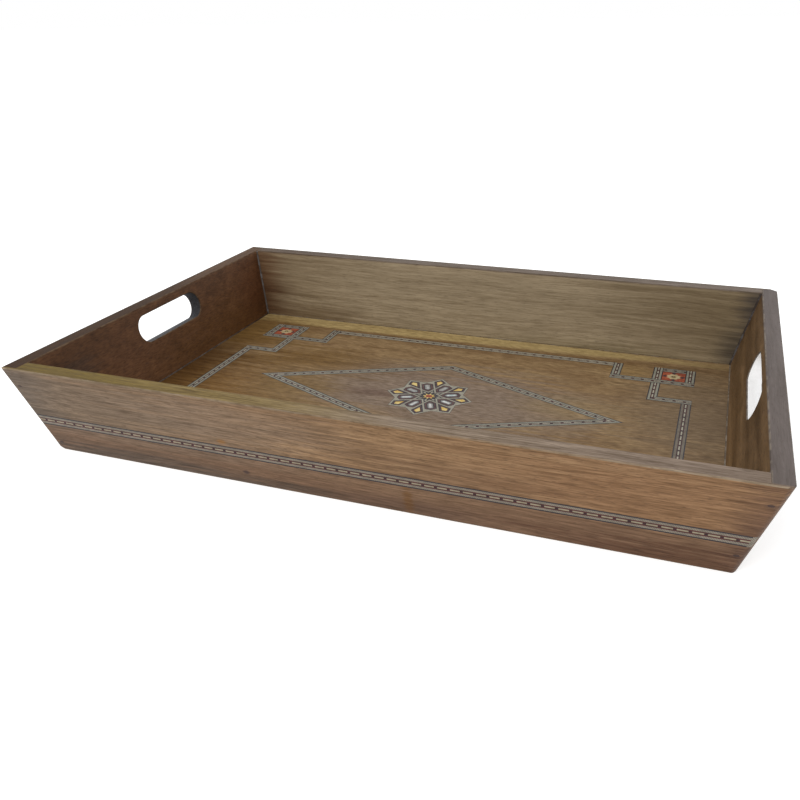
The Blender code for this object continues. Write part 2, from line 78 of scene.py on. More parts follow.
@dataclass(frozen=True)
class Signal:
    """One output socket, with arithmetic that adds Math nodes."""

    graph: "Graph"
    socket: NodeSocket

    def _math(self, operation: str, first: "Value", second: "Value" = 0.0, clamp: bool = False) -> "Signal":
        """Add one Math node.

        Args:
            operation: The node's operation.
            first: The first value.
            second: The second value.
            clamp: Whether the result is kept between 0 and 1.

        Returns:
            The node's result.
        """
        settings = {"operation": operation, "use_clamp": clamp}
        return self.graph.add("ShaderNodeMath", settings, {0: first, 1: second})

    def __add__(self, other: "Value") -> "Signal":
        """Self plus other."""
        return self._math("ADD", self, other)

    def __radd__(self, other: "Value") -> "Signal":
        """Other plus self."""
        return self._math("ADD", other, self)

    def __sub__(self, other: "Value") -> "Signal":
        """Self minus other."""
        return self._math("SUBTRACT", self, other)

    def __rsub__(self, other: "Value") -> "Signal":
        """Other minus self."""
        return self._math("SUBTRACT", other, self)

    def __mul__(self, other: "Value") -> "Signal":
        """Self times other."""
        return self._math("MULTIPLY", self, other)

    def __rmul__(self, other: "Value") -> "Signal":
        """Other times self."""
        return self._math("MULTIPLY", other, self)

    def sine(self) -> "Signal":
        """The sine of self."""
        return self._math("SINE", self)

    def clamped(self) -> "Signal":
        """Self kept between 0 and 1."""
        return self._math("ADD", self, 0.0, clamp=True)

    def greater(self, other: "Value") -> "Signal":
        """The greater of self and other."""
        return self._math("MAXIMUM", self, other)

    def rise(self, low: float, high: float) -> "Signal":
        """Self as a smooth step.

        Args:
            low: Where the step starts, at 0.
            high: Where the step ends, at 1. It may lie below the start, for a falling step.

        Returns:
            The step, between 0 and 1.
        """
        settings = {"interpolation_type": "SMOOTHSTEP"}
        if low < high:
            return self.graph.add("ShaderNodeMapRange", settings, {0: self, 1: low, 2: high})
        return self.graph.add("ShaderNodeMapRange", settings, {0: self, 1: high, 2: low, 3: 1.0, 4: 0.0})


Value = Signal | float
Paint = Signal | Triple


class Graph:
    """A node tree in the making: a material's, or the world's."""

    def __init__(self, tree: NodeTree) -> None:
        """Keep the node tree that is built."""
        self.tree = tree

    def add(
        self,
        kind: str,
        settings: dict[str, object] | None = None,
        sockets: dict[int | str, object] | None = None,
        outlet: int | str = 0,
    ) -> Signal:
        """Add one node.

        Args:
            kind: The node's type.
            settings: The node's own settings, set before its sockets.
            sockets: Values or links of its input sockets, by number or name.
            outlet: Which output is wanted.

        Returns:
            The chosen output.
        """
        node = self.tree.nodes.new(kind)
        for name, value in (settings or {}).items():
            setattr(node, name, value)
        for key, value in (sockets or {}).items():
            self.plug(node.inputs[key], value)
        return Signal(self, node.outputs[outlet])

    def plug(self, socket: NodeSocket, value: object) -> None:
        """Link or set one socket.

        Args:
            socket: The input socket.
            value: A signal, a number, a colour or a vector.
        """
        if isinstance(value, Signal):
            self.tree.links.new(value.socket, socket)
        elif socket.type == "RGBA":
            socket.default_value = (*value, 1.0)
        else:
            socket.default_value = value

    def place(self, shift: Triple = (0.0, 0.0, 0.0)) -> Signal:
        """Object coordinates, moved by the shift."""
        point = self.add("ShaderNodeTexCoord", outlet="Object")
        return self.vector("ADD", point, shift)

    def vector(self, operation: str, first: object, second: object, outlet: int = 0) -> Signal:
        """Add one Vector Math node.

        Args:
            operation: The node's operation.
            first: The first vector.
            second: The second vector.
            outlet: 0 for a vector result, 1 for a number.

        Returns:
            The node's result.
        """
        return self.add("ShaderNodeVectorMath", {"operation": operation}, {0: first, 1: second}, outlet)

    def noise(self, point: Signal, stretch: Triple, detail: float = 2.0, distortion: float = 0.0) -> Signal:
        """Noise with its own scale in each direction.

        Args:
            point: Where the noise is read.
            stretch: How many swings there are to a metre, in each direction.
            detail: How many finer layers are added.
            distortion: How far the noise is twisted.

        Returns:
            The noise, about 0.5.
        """
        scaled = self.vector("MULTIPLY", point, stretch)
        sockets = {"Vector": scaled, "Scale": 1.0, "Detail": detail, "Distortion": distortion}
        return self.add("ShaderNodeTexNoise", None, sockets)

    def speckle(self, point: Signal, swings: float, detail: float, distortion: float = 0.0) -> Signal:
        """Noise with one scale in all directions, as for noise."""
        return self.noise(point, (swings, swings, swings), detail, distortion)

    def blend(self, share: Value, first: Paint, second: Paint, how: str = "MIX") -> Signal:
        """Mix two colours.

        Args:
            share: How much of the second colour there is.
            first: The first colour.
            second: The second colour.
            how: The node's blend type.

        Returns:
            The mixed colour.
        """
        settings = {"data_type": "RGBA", "blend_type": how}
        return self.add("ShaderNodeMix", settings, {0: share, 6: first, 7: second}, 2)


class Skin(Graph):
    """A material in the making, with its shader."""

    def __init__(self, name: str) -> None:
        """Start the material.

        Args:
            name: Its name.
        """
        self.material = bpy.data.materials.new(name)
        self.material.use_nodes = True
        super().__init__(self.material.node_tree)
        self.shader = self.tree.nodes["Principled BSDF"]

    def dress(
        self, colour: Paint, rough: Value, height: Value, relief: Point, specular: float = 0.5
    ) -> Material:
        """Link what the surface shows to its shader.

        Args:
            colour: Its colour.
            rough: Its roughness.
            height: Its bumps, from 0 to about 1.
            relief: How strongly the bumps show, and how deep they are.
            specular: How strongly it reflects.

        Returns:
            The material.
        """
        sockets = {"Strength": relief[0], "Distance": relief[1], "Height": height}
        bumps = self.add("ShaderNodeBump", None, sockets)
        for name, value in (("Base Color", colour), ("Roughness", rough), ("Normal", bumps)):
            self.plug(self.shader.inputs[name], value)
        self.shader.inputs["Specular IOR Level"].default_value = specular
        return self.material


# Finishes


class Grain(Enum):
    """Which way a board's fibres run."""

    LENGTHWISE = 0
    CROSSWISE = 1

    def stretch(self, along: float, across: float) -> Triple:
        """Set a scale in the board's own directions.

        Args:
            along: Swings to a metre along the fibres.
            across: Swings to a metre across them.

        Returns:
            Swings to a metre in each direction.
        """
        scale = [across, across, across]
        scale[self.value] = along
        return tuple(scale)


@dataclass(frozen=True)
class StainAndLightPatch:
    """A patch of another tone, frayed along the grain. Most are stains in the wood; some are painted shade
    in corners and painted sheen on rims and floor.
    """

    middle: Triple
    reach: Triple
    colour: Triple
    strength: float
    ragged: float = 0.5
    soft: float = 0.75

    def lay(self, skin: Skin, point: Signal, colour: Signal, streak: Signal) -> Signal:
        """Lay the patch over the colour so far.

        Args:
            skin: The material.
            point: Object coordinates.
            colour: The colour so far.
            streak: The noise that frays the patch.

        Returns:
            The colour with the patch laid over it.
        """
        scaled = skin.vector("DIVIDE", skin.vector("SUBTRACT", point, self.middle), self.reach)
        far = skin.vector("LENGTH", scaled, (0.0, 0.0, 0.0), 1) + (streak - 0.5) * self.ragged * 2
        return skin.blend(far.rise(1.0, 1.0 - self.soft) * self.strength, colour, self.colour)


@dataclass(frozen=True)
class Walnut:
    """A lacquered walnut board: long figure, streaks, fine fibres and short dark pores."""

    name: str
    slot: str
    grain: Grain
    dark: Triple
    light: Triple
    pore: Triple = (0.045, 0.024, 0.016)
    shift: Triple = (0.0, 0.0, 0.0)
    figure: float = 1.3
    mottle: float = 0.8
    streaks: float = 0.85
    fibres: float = 1.8
    pores: float = 0.45
    mottle_at: Point = (30, 75)
    mottle_detail: float = 2.0
    streak_at: Point = (12, 290)
    fibre_at: Point = (100, 1300)
    pore_at: Point = (150, 2300)
    worn: float = 0.0
    worn_colour: Triple = (0.42, 0.33, 0.22)
    roughness: float = 0.45
    # Kept low: where the wood shows sheen, it is painted into the base colour instead.
    specular: float = 0.14
    sway: float = 12 * MM
    sway_at: Point = (6, 20)
    figure_at: Point = (2.5, 30)
    scuff_at: float = 140
    fibre_tint: Triple = (0.9, 1.0, 1.15)
    relief: Point = (0.35, 0.12 * MM)
    stains_and_light: tuple[StainAndLightPatch, ...] = ()

    def make(self) -> Material:
        """Build the material."""
        skin, run = Skin(self.name), self.grain.stretch
        point, plain = skin.place(self.shift), skin.place()
        sway = (skin.noise(point, run(*self.sway_at), 1.0) - 0.5) * self.sway
        swing = skin.add("ShaderNodeCombineXYZ", None, {0: sway, 1: sway, 2: sway})
        bent = skin.vector("ADD", point, skin.vector("MULTIPLY", swing, run(0, 1)))
        figure = skin.noise(bent, run(*self.figure_at), 3.0, 0.5)
        mottle = skin.noise(bent, run(*self.mottle_at), self.mottle_detail, 0.8)
        streak = skin.noise(bent, run(*self.streak_at), 3.0, 0.2)
        fibre = skin.noise(bent, run(*self.fibre_at), 2.0)
        pore = skin.noise(bent, run(*self.pore_at), 1.0).rise(0.58, 0.70)

        tone = 0.5 + (figure - 0.5) * self.figure + (mottle - 0.5) * self.mottle
        colour = skin.blend(tone.clamped(), self.dark, self.light)
        # Lay the patches: stains in the wood, and the painted shade and sheen that some lists hold.
        for laid_patch in self.stains_and_light:
            colour = laid_patch.lay(skin, plain, colour, streak)
        depth = (fibre - 0.5) * self.fibres + (streak - 0.5) * self.streaks
        shades = {channel: 1 + depth * share for channel, share in enumerate(self.fibre_tint)}
        shade = skin.add("ShaderNodeCombineXYZ", None, shades)
        colour = skin.blend(1.0, colour, shade, "MULTIPLY")
        colour = skin.blend(pore * self.pores, colour, self.pore)
        # Pale scuffs on the rounded arrises: partly wear, partly a painted highlight along the edge.
        if self.worn:
            scuff = skin.speckle(plain, self.scuff_at, 4.0).rise(0.36, 0.62)
            colour = skin.blend(scuff * self.worn, colour, self.worn_colour)
        rough = self.roughness + (fibre - 0.5) * 0.3 + pore * 0.12
        height = fibre * 0.5 + streak * 0.3 - pore * 0.8
        return skin.dress(colour, rough, height, self.relief, self.specular)


@dataclass(frozen=True)
class Stick:
    """A thin stick of inlay: one colour, mottled, and twisted like rope where it has a hatch."""

    name: str
    slot: str
    colour: Triple
    mottle: Triple
    hatch: Triple = (0.0, 0.0, 0.0)
    hatch_strength: float = 0.0
    hatch_pitch: float = 1.35 * MM
    mottle_at: float = 260
    wander_at: float = 500
    relief: Point = (0.3, 0.1 * MM)
    roughness: float = 0.38
    specular: float = 0.2

    def make(self) -> Material:
        """Build the material."""
        skin = Skin(self.name)
        point = skin.place()
        mottle = skin.speckle(point, self.mottle_at, 3.0).rise(0.36, 0.66)
        colour = skin.blend(mottle, self.colour, self.mottle)
        height = mottle * 0.4
        if self.hatch_strength:
            run = skin.add("ShaderNodeUVMap")
            along, across = (skin.add("ShaderNodeSeparateXYZ", None, {0: run}, way) for way in (0, 1))
            turn = 2 * math.pi / self.hatch_pitch
            wander = skin.speckle(point, self.wander_at, 1.0)
            cord = ((along + across * 0.8) * turn + wander * 1.6).sine().rise(0.05, 0.95)
            colour = skin.blend(cord * self.hatch_strength, colour, self.hatch)
            height = height - cord * 0.6
        return skin.dress(colour, self.roughness + mottle * 0.12, height, self.relief, self.specular)


@dataclass(frozen=True)
class Pearl:
    """Mother-of-pearl: pale, clouded, with cool and warm lights."""

    name: str
    slot: str
    pale: Triple
    cool: Triple
    warm: Triple
    cloud_at: float = 320
    drift_at: float = 90
    relief: Point = (0.2, 0.1 * MM)

    def make(self) -> Material:
        """Build the material."""
        skin = Skin(self.name)
        point = skin.place()
        cloud = skin.speckle(point, self.cloud_at, 3.0, 1.2).rise(0.35, 0.65)
        drift = skin.speckle(point, self.drift_at, 2.0).rise(0.4, 0.6)
        colour = skin.blend(cloud, self.pale, skin.blend(drift, self.cool, self.warm))
        return skin.dress(colour, 0.18 + cloud * 0.15, cloud, self.relief)


@dataclass(frozen=True)
class Filler:
    """Glue and lacquer that has run along a joint: smeared dark and grey, with a wet gloss. On the inside
    corners the grey smears are painted highlights.
    """

    name: str
    slot: str
    dark: Triple
    grey: Triple
    specular: float = 0.12
    smear_at: float = 130
    crumb_at: float = 900
    relief: Point = (0.4, 0.2 * MM)

    def make(self) -> Material:
        """Build the material."""
        skin = Skin(self.name)
        point = skin.place()
        smear = skin.speckle(point, self.smear_at, 4.0, 0.8).rise(0.42, 0.66)
        crumb = skin.speckle(point, self.crumb_at, 2.0)
        colour = skin.blend(smear, self.dark, self.grey)
        colour = skin.blend(crumb.rise(0.55, 0.75) * 0.4, colour, self.dark)
        return skin.dress(colour, 0.28 + crumb * 0.2, crumb, self.relief, self.specular)


@dataclass(frozen=True)
class Plywood:
    """The raw underside of the base panel: a plain pale veneer with wide figure."""

    name: str
    slot: str
    dark: Triple
    light: Triple
    relief: Point = (0.4, 0.2 * MM)

    def make(self) -> Material:
        """Build the material."""
        skin = Skin(self.name)
        point = skin.place((0.3, 0.7, 0.1))
        sway = skin.noise(point, (4, 9, 4), 2.0)
        rings = ((sway * 9 + skin.noise(point, (2, 60, 2), 3.0) * 2) * math.pi).sine()
        fibre = skin.noise(point, (30, 800, 30), 3.0)
        tone = (0.5 + rings * 0.22 + (fibre - 0.5) * 0.9).clamped()
        colour = skin.blend(tone, self.dark, self.light)
        return skin.dress(colour, 0.62 + (fibre - 0.5) * 0.2, fibre, self.relief)


Finish = Walnut | Stick | Pearl | Filler | Plywood


@functools.cache
def material_of(finish: Finish) -> Material:
    """The material of a finish, made when it is first asked for."""
    return finish.make()


FRONT_PATCHES = (
    StainAndLightPatch((-0.25, -0.16, 0.045), (0.26, 0.05, 0.06), (0.178, 0.128, 0.086), 0.85, 0.5),
    StainAndLightPatch((-0.08, -0.165, 0.050), (0.12, 0.05, 0.03), (0.240, 0.170, 0.118), 0.45, 0.5),
    StainAndLightPatch((0.075, -0.158, 0.037), (0.12, 0.05, 0.017), (0.170, 0.098, 0.053), 0.6, 0.6),
    StainAndLightPatch((-0.250, -0.16, 0.045), (0.050, 0.06, 0.08), (0.108, 0.084, 0.066), 0.65, 0.5, 0.9),
    StainAndLightPatch((0.22, -0.16, 0.045), (0.22, 0.05, 0.05), (0.252, 0.132, 0.064), 0.6, 0.5),
    # The next four patches make the facing darker below its band, towards its foot.
    StainAndLightPatch((0.0, -0.15, 0.000), (0.60, 0.05, 0.034), (0.176, 0.100, 0.058), 0.9, 0.3, 0.35),
    StainAndLightPatch((-0.15, -0.15, -0.004), (0.18, 0.05, 0.020), (0.090, 0.068, 0.052), 0.75, 0.6, 0.6),
    StainAndLightPatch((0.20, -0.15, 0.000), (0.15, 0.05, 0.018), (0.125, 0.060, 0.032), 0.8, 0.9, 0.6),
    StainAndLightPatch((0.04, -0.152, 0.004), (0.08, 0.05, 0.010), (0.112, 0.064, 0.043), 0.5, 0.5),
    StainAndLightPatch((0.03, -0.155, 0.020), (0.13, 0.05, 0.009), (0.232, 0.138, 0.078), 0.6, 0.5),
    StainAndLightPatch((-0.14, -0.155, 0.021), (0.17, 0.05, 0.009), (0.200, 0.136, 0.090), 0.5, 0.5),
    StainAndLightPatch((0.245, -0.160, 0.030), (0.030, 0.05, 0.06), (0.110, 0.055, 0.034), 0.75, 0.6),
    StainAndLightPatch((0.040, -0.153, 0.012), (0.0045, 0.02, 0.018), (0.165, 0.070, 0.012), 0.6, 0.9),
    StainAndLightPatch((-0.074, -0.153, 0.0105), (0.0040, 0.02, 0.0028), (0.028, 0.018, 0.022), 0.75, 0.8),
    StainAndLightPatch((-0.086, -0.160, 0.0345), (0.0050, 0.02, 0.0024), (0.320, 0.150, 0.040), 0.75, 0.5),
    StainAndLightPatch((0.2405, -0.166, 0.0547), (0.0048, 0.02, 0.0032), (0.085, 0.048, 0.034), 0.6, 0.4, 0.9),
    StainAndLightPatch((0.2310, -0.156, 0.0170), (0.0040, 0.02, 0.0026), (0.080, 0.044, 0.030), 0.5, 0.4, 0.9),
)
FACING = Walnut(
    "front_walnut", "walnut", Grain.LENGTHWISE, (0.180, 0.100, 0.047), (0.355, 0.218, 0.112),
    figure=1.0, mottle=0.5, mottle_at=(22, 190), mottle_detail=3.0, streaks=0.95, streak_at=(6, 420),
    fibres=1.9, fibre_at=(55, 1300), pores=0.4, pore_at=(220, 2000), stains_and_light=FRONT_PATCHES,
)
RIM_STAINS_AND_SHEEN = (
    StainAndLightPatch((-0.25, -0.165, 0.069), (0.24, 0.03, 0.03), (0.140, 0.094, 0.022), 1.0, 0.2, 0.6),
    StainAndLightPatch((-0.07, -0.165, 0.069), (0.12, 0.03, 0.03), (0.208, 0.144, 0.046), 0.7, 0.2, 0.8),
    # Painted sheen: the grey-mauve on the right part of the front rim stands for the sky reflected in the
    # lacquer.
    StainAndLightPatch((0.25, -0.165, 0.069), (0.20, 0.03, 0.03), (0.185, 0.135, 0.100), 0.9, 0.2, 0.8),
    StainAndLightPatch((0.0, 0.165, 0.069), (0.60, 0.03, 0.03), (0.128, 0.098, 0.076), 0.9, 0.2, 0.2),
    StainAndLightPatch((-0.25, 0.165, 0.069), (0.16, 0.03, 0.03), (0.090, 0.060, 0.040), 0.9, 0.2, 0.6),
)
LONG_RIM = Walnut(
    "long_rim_walnut", "walnut", Grain.LENGTHWISE, (0.165, 0.118, 0.080), (0.265, 0.202, 0.146),
    shift=(0.13, 0.4, 0.2), stains_and_light=RIM_STAINS_AND_SHEEN, streaks=1.2, fibres=1.8, fibre_at=(60, 900), specular=0.05,
)
# The long walls' rounded outer arris: paler, partly wear and partly a painted highlight along the edge.
LONG_RIM_WORN_AND_HIGHLIGHT = Walnut(
    "long_rim_worn_and_highlight", "walnut", Grain.LENGTHWISE, (0.175, 0.116, 0.068), (0.275, 0.190, 0.120),
    shift=(0.13, 0.4, 0.2), worn=0.4, worn_colour=(0.32, 0.25, 0.17), specular=0.05, stains_and_light=(
        StainAndLightPatch((-0.25, -0.167, 0.067), (0.28, 0.03, 0.03), (0.185, 0.140, 0.090), 0.8, 0.4, 0.6),
        StainAndLightPatch((0.25, -0.167, 0.068), (0.12, 0.03, 0.012), (0.340, 0.275, 0.205), 0.5, 0.9, 0.6),
        StainAndLightPatch((-0.253, -0.170, 0.069), (0.012, 0.02, 0.01), (0.420, 0.330, 0.230), 0.8, 0.5, 0.6),
    ),
)
BOARD_STAINS_AND_CORNER_SHADE = (
    StainAndLightPatch((0.24, 0.15, 0.045), (0.19, 0.05, 0.07), (0.165, 0.118, 0.062), 0.85, 0.4, 0.8),
    StainAndLightPatch((-0.24, 0.15, 0.040), (0.15, 0.05, 0.09), (0.200, 0.142, 0.078), 0.8, 0.4, 0.8),
    # Painted shade: the back wall darker and redder towards its left corner.
    StainAndLightPatch((-0.236, 0.15, 0.040), (0.035, 0.05, 0.08), (0.130, 0.068, 0.032), 0.9, 0.5, 0.8),
    StainAndLightPatch((-0.170, 0.15, 0.007), (0.085, 0.05, 0.028), (0.118, 0.074, 0.034), 0.75, 0.4, 0.8),
    StainAndLightPatch((0.11, 0.15, 0.003), (0.13, 0.05, 0.024), (0.165, 0.128, 0.066), 0.6, 0.4, 0.8),
    # Painted shade: darker at the foot of the back-left corner.
    StainAndLightPatch((-0.229, 0.15, 0.016), (0.052, 0.05, 0.060), (0.072, 0.030, 0.011), 0.85, 0.22, 0.95),
    # Painted shade: the next two darken the back-right corner, up its height and at its foot.
    StainAndLightPatch((0.239, 0.15, 0.055), (0.024, 0.05, 0.05), (0.062, 0.050, 0.042), 0.9, 0.5, 0.9),
    StainAndLightPatch((0.225, 0.15, 0.016), (0.026, 0.05, 0.034), (0.060, 0.047, 0.034), 0.85, 0.3, 0.9),
)
LONG_BOARD = Walnut(
    "long_board_walnut", "walnut", Grain.LENGTHWISE, (0.205, 0.155, 0.092), (0.350, 0.272, 0.170),
    shift=(0.13, 0.4, 0.2), figure=1.0, mottle=0.6, streaks=0.68, streak_at=(7, 300),
    fibres=0.95, fibre_at=(55, 1000), pores=0.3, stains_and_light=BOARD_STAINS_AND_CORNER_SHADE,
)
END_BOARDS = {
    "left": Walnut(
        "left_end_walnut", "walnut_dark", Grain.CROSSWISE, (0.062, 0.026, 0.010), (0.140, 0.063, 0.027),
        shift=(0.7, 0.1, 0.3), pores=0.4, streaks=0.5, fibres=1.5, fibre_at=(220, 1000),
        mottle=1.9, mottle_at=(60, 85), mottle_detail=4.0,
        stains_and_light=(
            StainAndLightPatch((-0.22, 0.06, 0.010), (0.05, 0.16, 0.05), (0.088, 0.036, 0.009), 0.75, 0.5),
            StainAndLightPatch((-0.235, -0.06, 0.040), (0.05, 0.07, 0.03), (0.118, 0.052, 0.024), 0.5, 0.9, 0.9),
            StainAndLightPatch((-0.235, -0.12, 0.045), (0.05, 0.035, 0.02), (0.045, 0.028, 0.020), 0.6, 0.9, 0.9),
            StainAndLightPatch((-0.235, 0.13, 0.040), (0.05, 0.05, 0.05), (0.094, 0.034, 0.014), 0.5, 0.6, 0.9),
        ),
    ),
    "right": Walnut(
        "right_end_walnut", "walnut_dark", Grain.CROSSWISE, (0.070, 0.037, 0.013), (0.188, 0.112, 0.055),
        shift=(0.2, 0.5, 0.6), pores=0.4, figure=1.8, streaks=2.2, streak_at=(4, 130),
        fibres=1.4, fibre_at=(220, 1000), mottle=1.2, mottle_at=(25, 110), mottle_detail=3.0,
        stains_and_light=(StainAndLightPatch((0.22, -0.05, 0.010), (0.05, 0.16, 0.035), (0.122, 0.066, 0.024), 0.75, 0.6),),
    ),
}
END_RIMS = {
    "left": Walnut(
        "left_rim_walnut", "walnut_dark", Grain.CROSSWISE, (0.062, 0.033, 0.017), (0.125, 0.072, 0.043),
        shift=(0.7, 0.1, 0.3), fibres=1.4, pores=0.2, specular=0.03,
        stains_and_light=(StainAndLightPatch((-0.245, -0.10, 0.069), (0.03, 0.19, 0.02), (0.042, 0.022, 0.012), 0.85, 0.3, 0.7),),
    ),
    # Painted sheen: the right rim's grey-mauve stands for the sky reflected in the lacquer over dark
    # walnut.
    "right": Walnut(
        "right_rim_walnut_and_painted_sheen", "walnut_dark", Grain.CROSSWISE, (0.070, 0.053, 0.046), (0.118, 0.093, 0.082),
        shift=(0.2, 0.5, 0.6), fibres=0.8, pores=0.1, streaks=1.2, specular=0.08,
    ),
}
# The end rims' rounded arrises: paler, partly wear and partly a painted highlight along the edge.
END_WORN_AND_HIGHLIGHT = {
    "left": Walnut(
        "left_rim_worn_and_highlight", "walnut_dark", Grain.CROSSWISE,
        (0.055, 0.028, 0.014), (0.112, 0.062, 0.036),
        shift=(0.7, 0.1, 0.3), worn=0.5, worn_colour=(0.17, 0.115, 0.068), specular=0.03,
    ),
    # Painted sheen as on the right rim, with the pale arris.
    "right": Walnut(
        "right_rim_worn_highlight_and_sheen", "walnut_dark", Grain.CROSSWISE,
        (0.070, 0.053, 0.046), (0.118, 0.093, 0.082),
        shift=(0.2, 0.5, 0.6), worn=0.5, worn_colour=(0.24, 0.20, 0.15), specular=0.08,
    ),
}
SLOT_WALLS = {
    "left": Walnut(
        "left_slot_walnut", "walnut_dark", Grain.CROSSWISE, (0.032, 0.032, 0.037), (0.062, 0.061, 0.066),
        shift=(0.2, 0.6, 0.9), roughness=0.5, specular=0.06,
    ),
    # Painted light: the right slot's wall is near white, standing for the glare and white backdrop seen in
    # the slot rather than the walnut's colour.
    "right": Walnut(
        "right_slot_painted_white", "walnut_dark", Grain.CROSSWISE, (0.930, 0.925, 0.920), (0.970, 0.965, 0.960),
        shift=(0.2, 0.6, 0.9), pore=(0.80, 0.79, 0.78), roughness=0.5, specular=0.1, pores=0.1, fibres=0.05,
        streaks=0.03,
    ),
}
FLOOR_STAINS_AND_SHEEN = (
    StainAndLightPatch((0.0, 0.0, 0.009), (0.17, 0.080, 0.05), (0.188, 0.140, 0.108), 0.8, 0.6, 0.6),
    StainAndLightPatch((-0.21, -0.06, 0.009), (0.15, 0.13, 0.05), (0.158, 0.078, 0.018), 0.8, 0.6, 0.8),
    StainAndLightPatch((-0.12, 0.040, 0.009), (0.09, 0.050, 0.05), (0.122, 0.062, 0.012), 0.75, 0.9, 0.9),
    StainAndLightPatch((-0.045, -0.006, 0.009), (0.035, 0.012, 0.05), (0.115, 0.068, 0.050), 0.6, 0.9, 0.9),
    StainAndLightPatch((-0.055, -0.045, 0.009), (0.06, 0.020, 0.05), (0.240, 0.150, 0.060), 0.6, 0.9, 0.9),
    StainAndLightPatch((0.145, 0.100, 0.009), (0.03, 0.020, 0.05), (0.245, 0.155, 0.060), 0.7, 0.5, 0.8),
    StainAndLightPatch((0.20, 0.03, 0.009), (0.08, 0.13, 0.05), (0.150, 0.104, 0.062), 0.75, 0.5, 0.8),
    StainAndLightPatch((0.11, 0.010, 0.009), (0.06, 0.030, 0.05), (0.235, 0.165, 0.082), 0.6, 0.9, 0.9),
    # Painted sheen: the greyer patch at the front right of the floor stands for the lacquer's reflection.
    StainAndLightPatch((0.12, -0.11, 0.009), (0.12, 0.06, 0.05), (0.215, 0.148, 0.092), 0.7, 0.5, 0.8),
    StainAndLightPatch((-0.226, 0.01, 0.009), (0.075, 0.19, 0.05), (0.052, 0.021, 0.004), 0.85, 0.3, 0.95),
    StainAndLightPatch((0.0, 0.117, 0.009), (0.40, 0.007, 0.05), (0.128, 0.068, 0.024), 0.5, 0.2, 0.9),
    StainAndLightPatch((-0.12, 0.133, 0.009), (0.40, 0.0155, 0.05), (0.410, 0.298, 0.128), 0.85, 0.25, 0.4),
    StainAndLightPatch((-0.205, 0.095, 0.009), (0.075, 0.065, 0.05), (0.138, 0.074, 0.018), 0.7, 0.4, 0.8),
    StainAndLightPatch((-0.110, -0.015, 0.009), (0.055, 0.045, 0.05), (0.182, 0.112, 0.040), 0.65, 0.6, 0.8),
)
FLOOR = Walnut(
    "floor_walnut", "walnut_gold", Grain.LENGTHWISE, (0.124, 0.066, 0.029), (0.282, 0.188, 0.092),
    shift=(0.5, 0.9, 0.4), figure=0.9, streaks=0.6, streak_at=(14, 240), fibres=1.7, fibre_at=(150, 900),
    mottle=1.15, mottle_at=(45, 80), mottle_detail=3.0, pores=0.35, specular=0.06, stains_and_light=FLOOR_STAINS_AND_SHEEN,
)
BONE = Stick(
    "bone_rope", "bone", (0.262, 0.254, 0.200), (0.204, 0.200, 0.158), (0.092, 0.088, 0.068), 0.5,
)
# A brighter copy of the bone for the back border: painted sheen.
SHEEN_LIT_BONE = Stick(
    "sheen_lit_bone_rope", "bone", (0.385, 0.350, 0.262), (0.300, 0.275, 0.207), (0.140, 0.126, 0.091), 0.5,
)
DIM_BONE = Stick(
    "dim_bone_rope", "bone", (0.166, 0.138, 0.102), (0.130, 0.109, 0.082), (0.056, 0.044, 0.033), 0.55,
)
BAND_BONE = Stick(
    "band_bone_rope", "bone", (0.290, 0.250, 0.196), (0.222, 0.194, 0.152), (0.080, 0.064, 0.050), 0.62,
)
DASH = Stick("bone_dash", "bone", (0.360, 0.335, 0.260), (0.280, 0.262, 0.200))
BAND_DASH = Stick("band_bone_dash", "bone", (0.375, 0.325, 0.225), (0.285, 0.245, 0.165))
STRAP = Stick(
    "bone_strap", "bone", (0.345, 0.320, 0.255), (0.275, 0.256, 0.204), (0.130, 0.116, 0.086),
    hatch_strength=0.35, hatch_pitch=0.9 * MM,
)
EBONY = Stick("ebony", "dark_wood", (0.018, 0.016, 0.022), (0.034, 0.028, 0.032))
PURPLE = Stick("purple_block", "dark_wood", (0.038, 0.014, 0.018), (0.022, 0.011, 0.014))
RUSSET = Stick("russet_line", "red_wood", (0.060, 0.024, 0.020), (0.036, 0.018, 0.016))
BAND_RUSSET = Stick("band_russet_line", "red_wood", (0.092, 0.026, 0.022), (0.056, 0.021, 0.018))
PLUM = Stick("plum_field", "red_wood", (0.100, 0.044, 0.038), (0.062, 0.028, 0.028))
SCARLET = Stick("scarlet_field", "red_wood", (0.320, 0.074, 0.032), (0.180, 0.040, 0.020))
LEMON = Stick("lemon_field", "yellow_wood", (0.620, 0.480, 0.180), (0.520, 0.330, 0.085))
CREAM = Stick("cream_star", "yellow_wood", (0.440, 0.350, 0.205), (0.340, 0.250, 0.130))
OLIVE = Stick("olive_eye", "yellow_wood", (0.200, 0.155, 0.055), (0.130, 0.100, 0.040))
SHELL = Pearl("shell", "pearl", (0.560, 0.580, 0.560), (0.360, 0.440, 0.460), (0.450, 0.410, 0.390))
SHELL_DIM = Pearl(
    "shell_dim", "pearl", (0.320, 0.325, 0.310), (0.210, 0.240, 0.240), (0.260, 0.240, 0.220),
)
SHELL_EDGE = Pearl(
    "shell_edge", "pearl", (0.200, 0.200, 0.180), (0.150, 0.165, 0.160), (0.165, 0.145, 0.130),
)
# Painted highlight: the grey smears on the right corners' beads stand for glints along the joint.
JOINT_FILLER = Filler("joint_filler", "dark_wood", (0.044, 0.032, 0.026), (0.105, 0.098, 0.098))
DARK_FILLER = Filler("dark_filler", "dark_wood", (0.030, 0.018, 0.013), (0.068, 0.048, 0.036))
PALE_FILLER = Filler("pale_filler", "dark_wood", (0.105, 0.080, 0.058), (0.225, 0.188, 0.150))
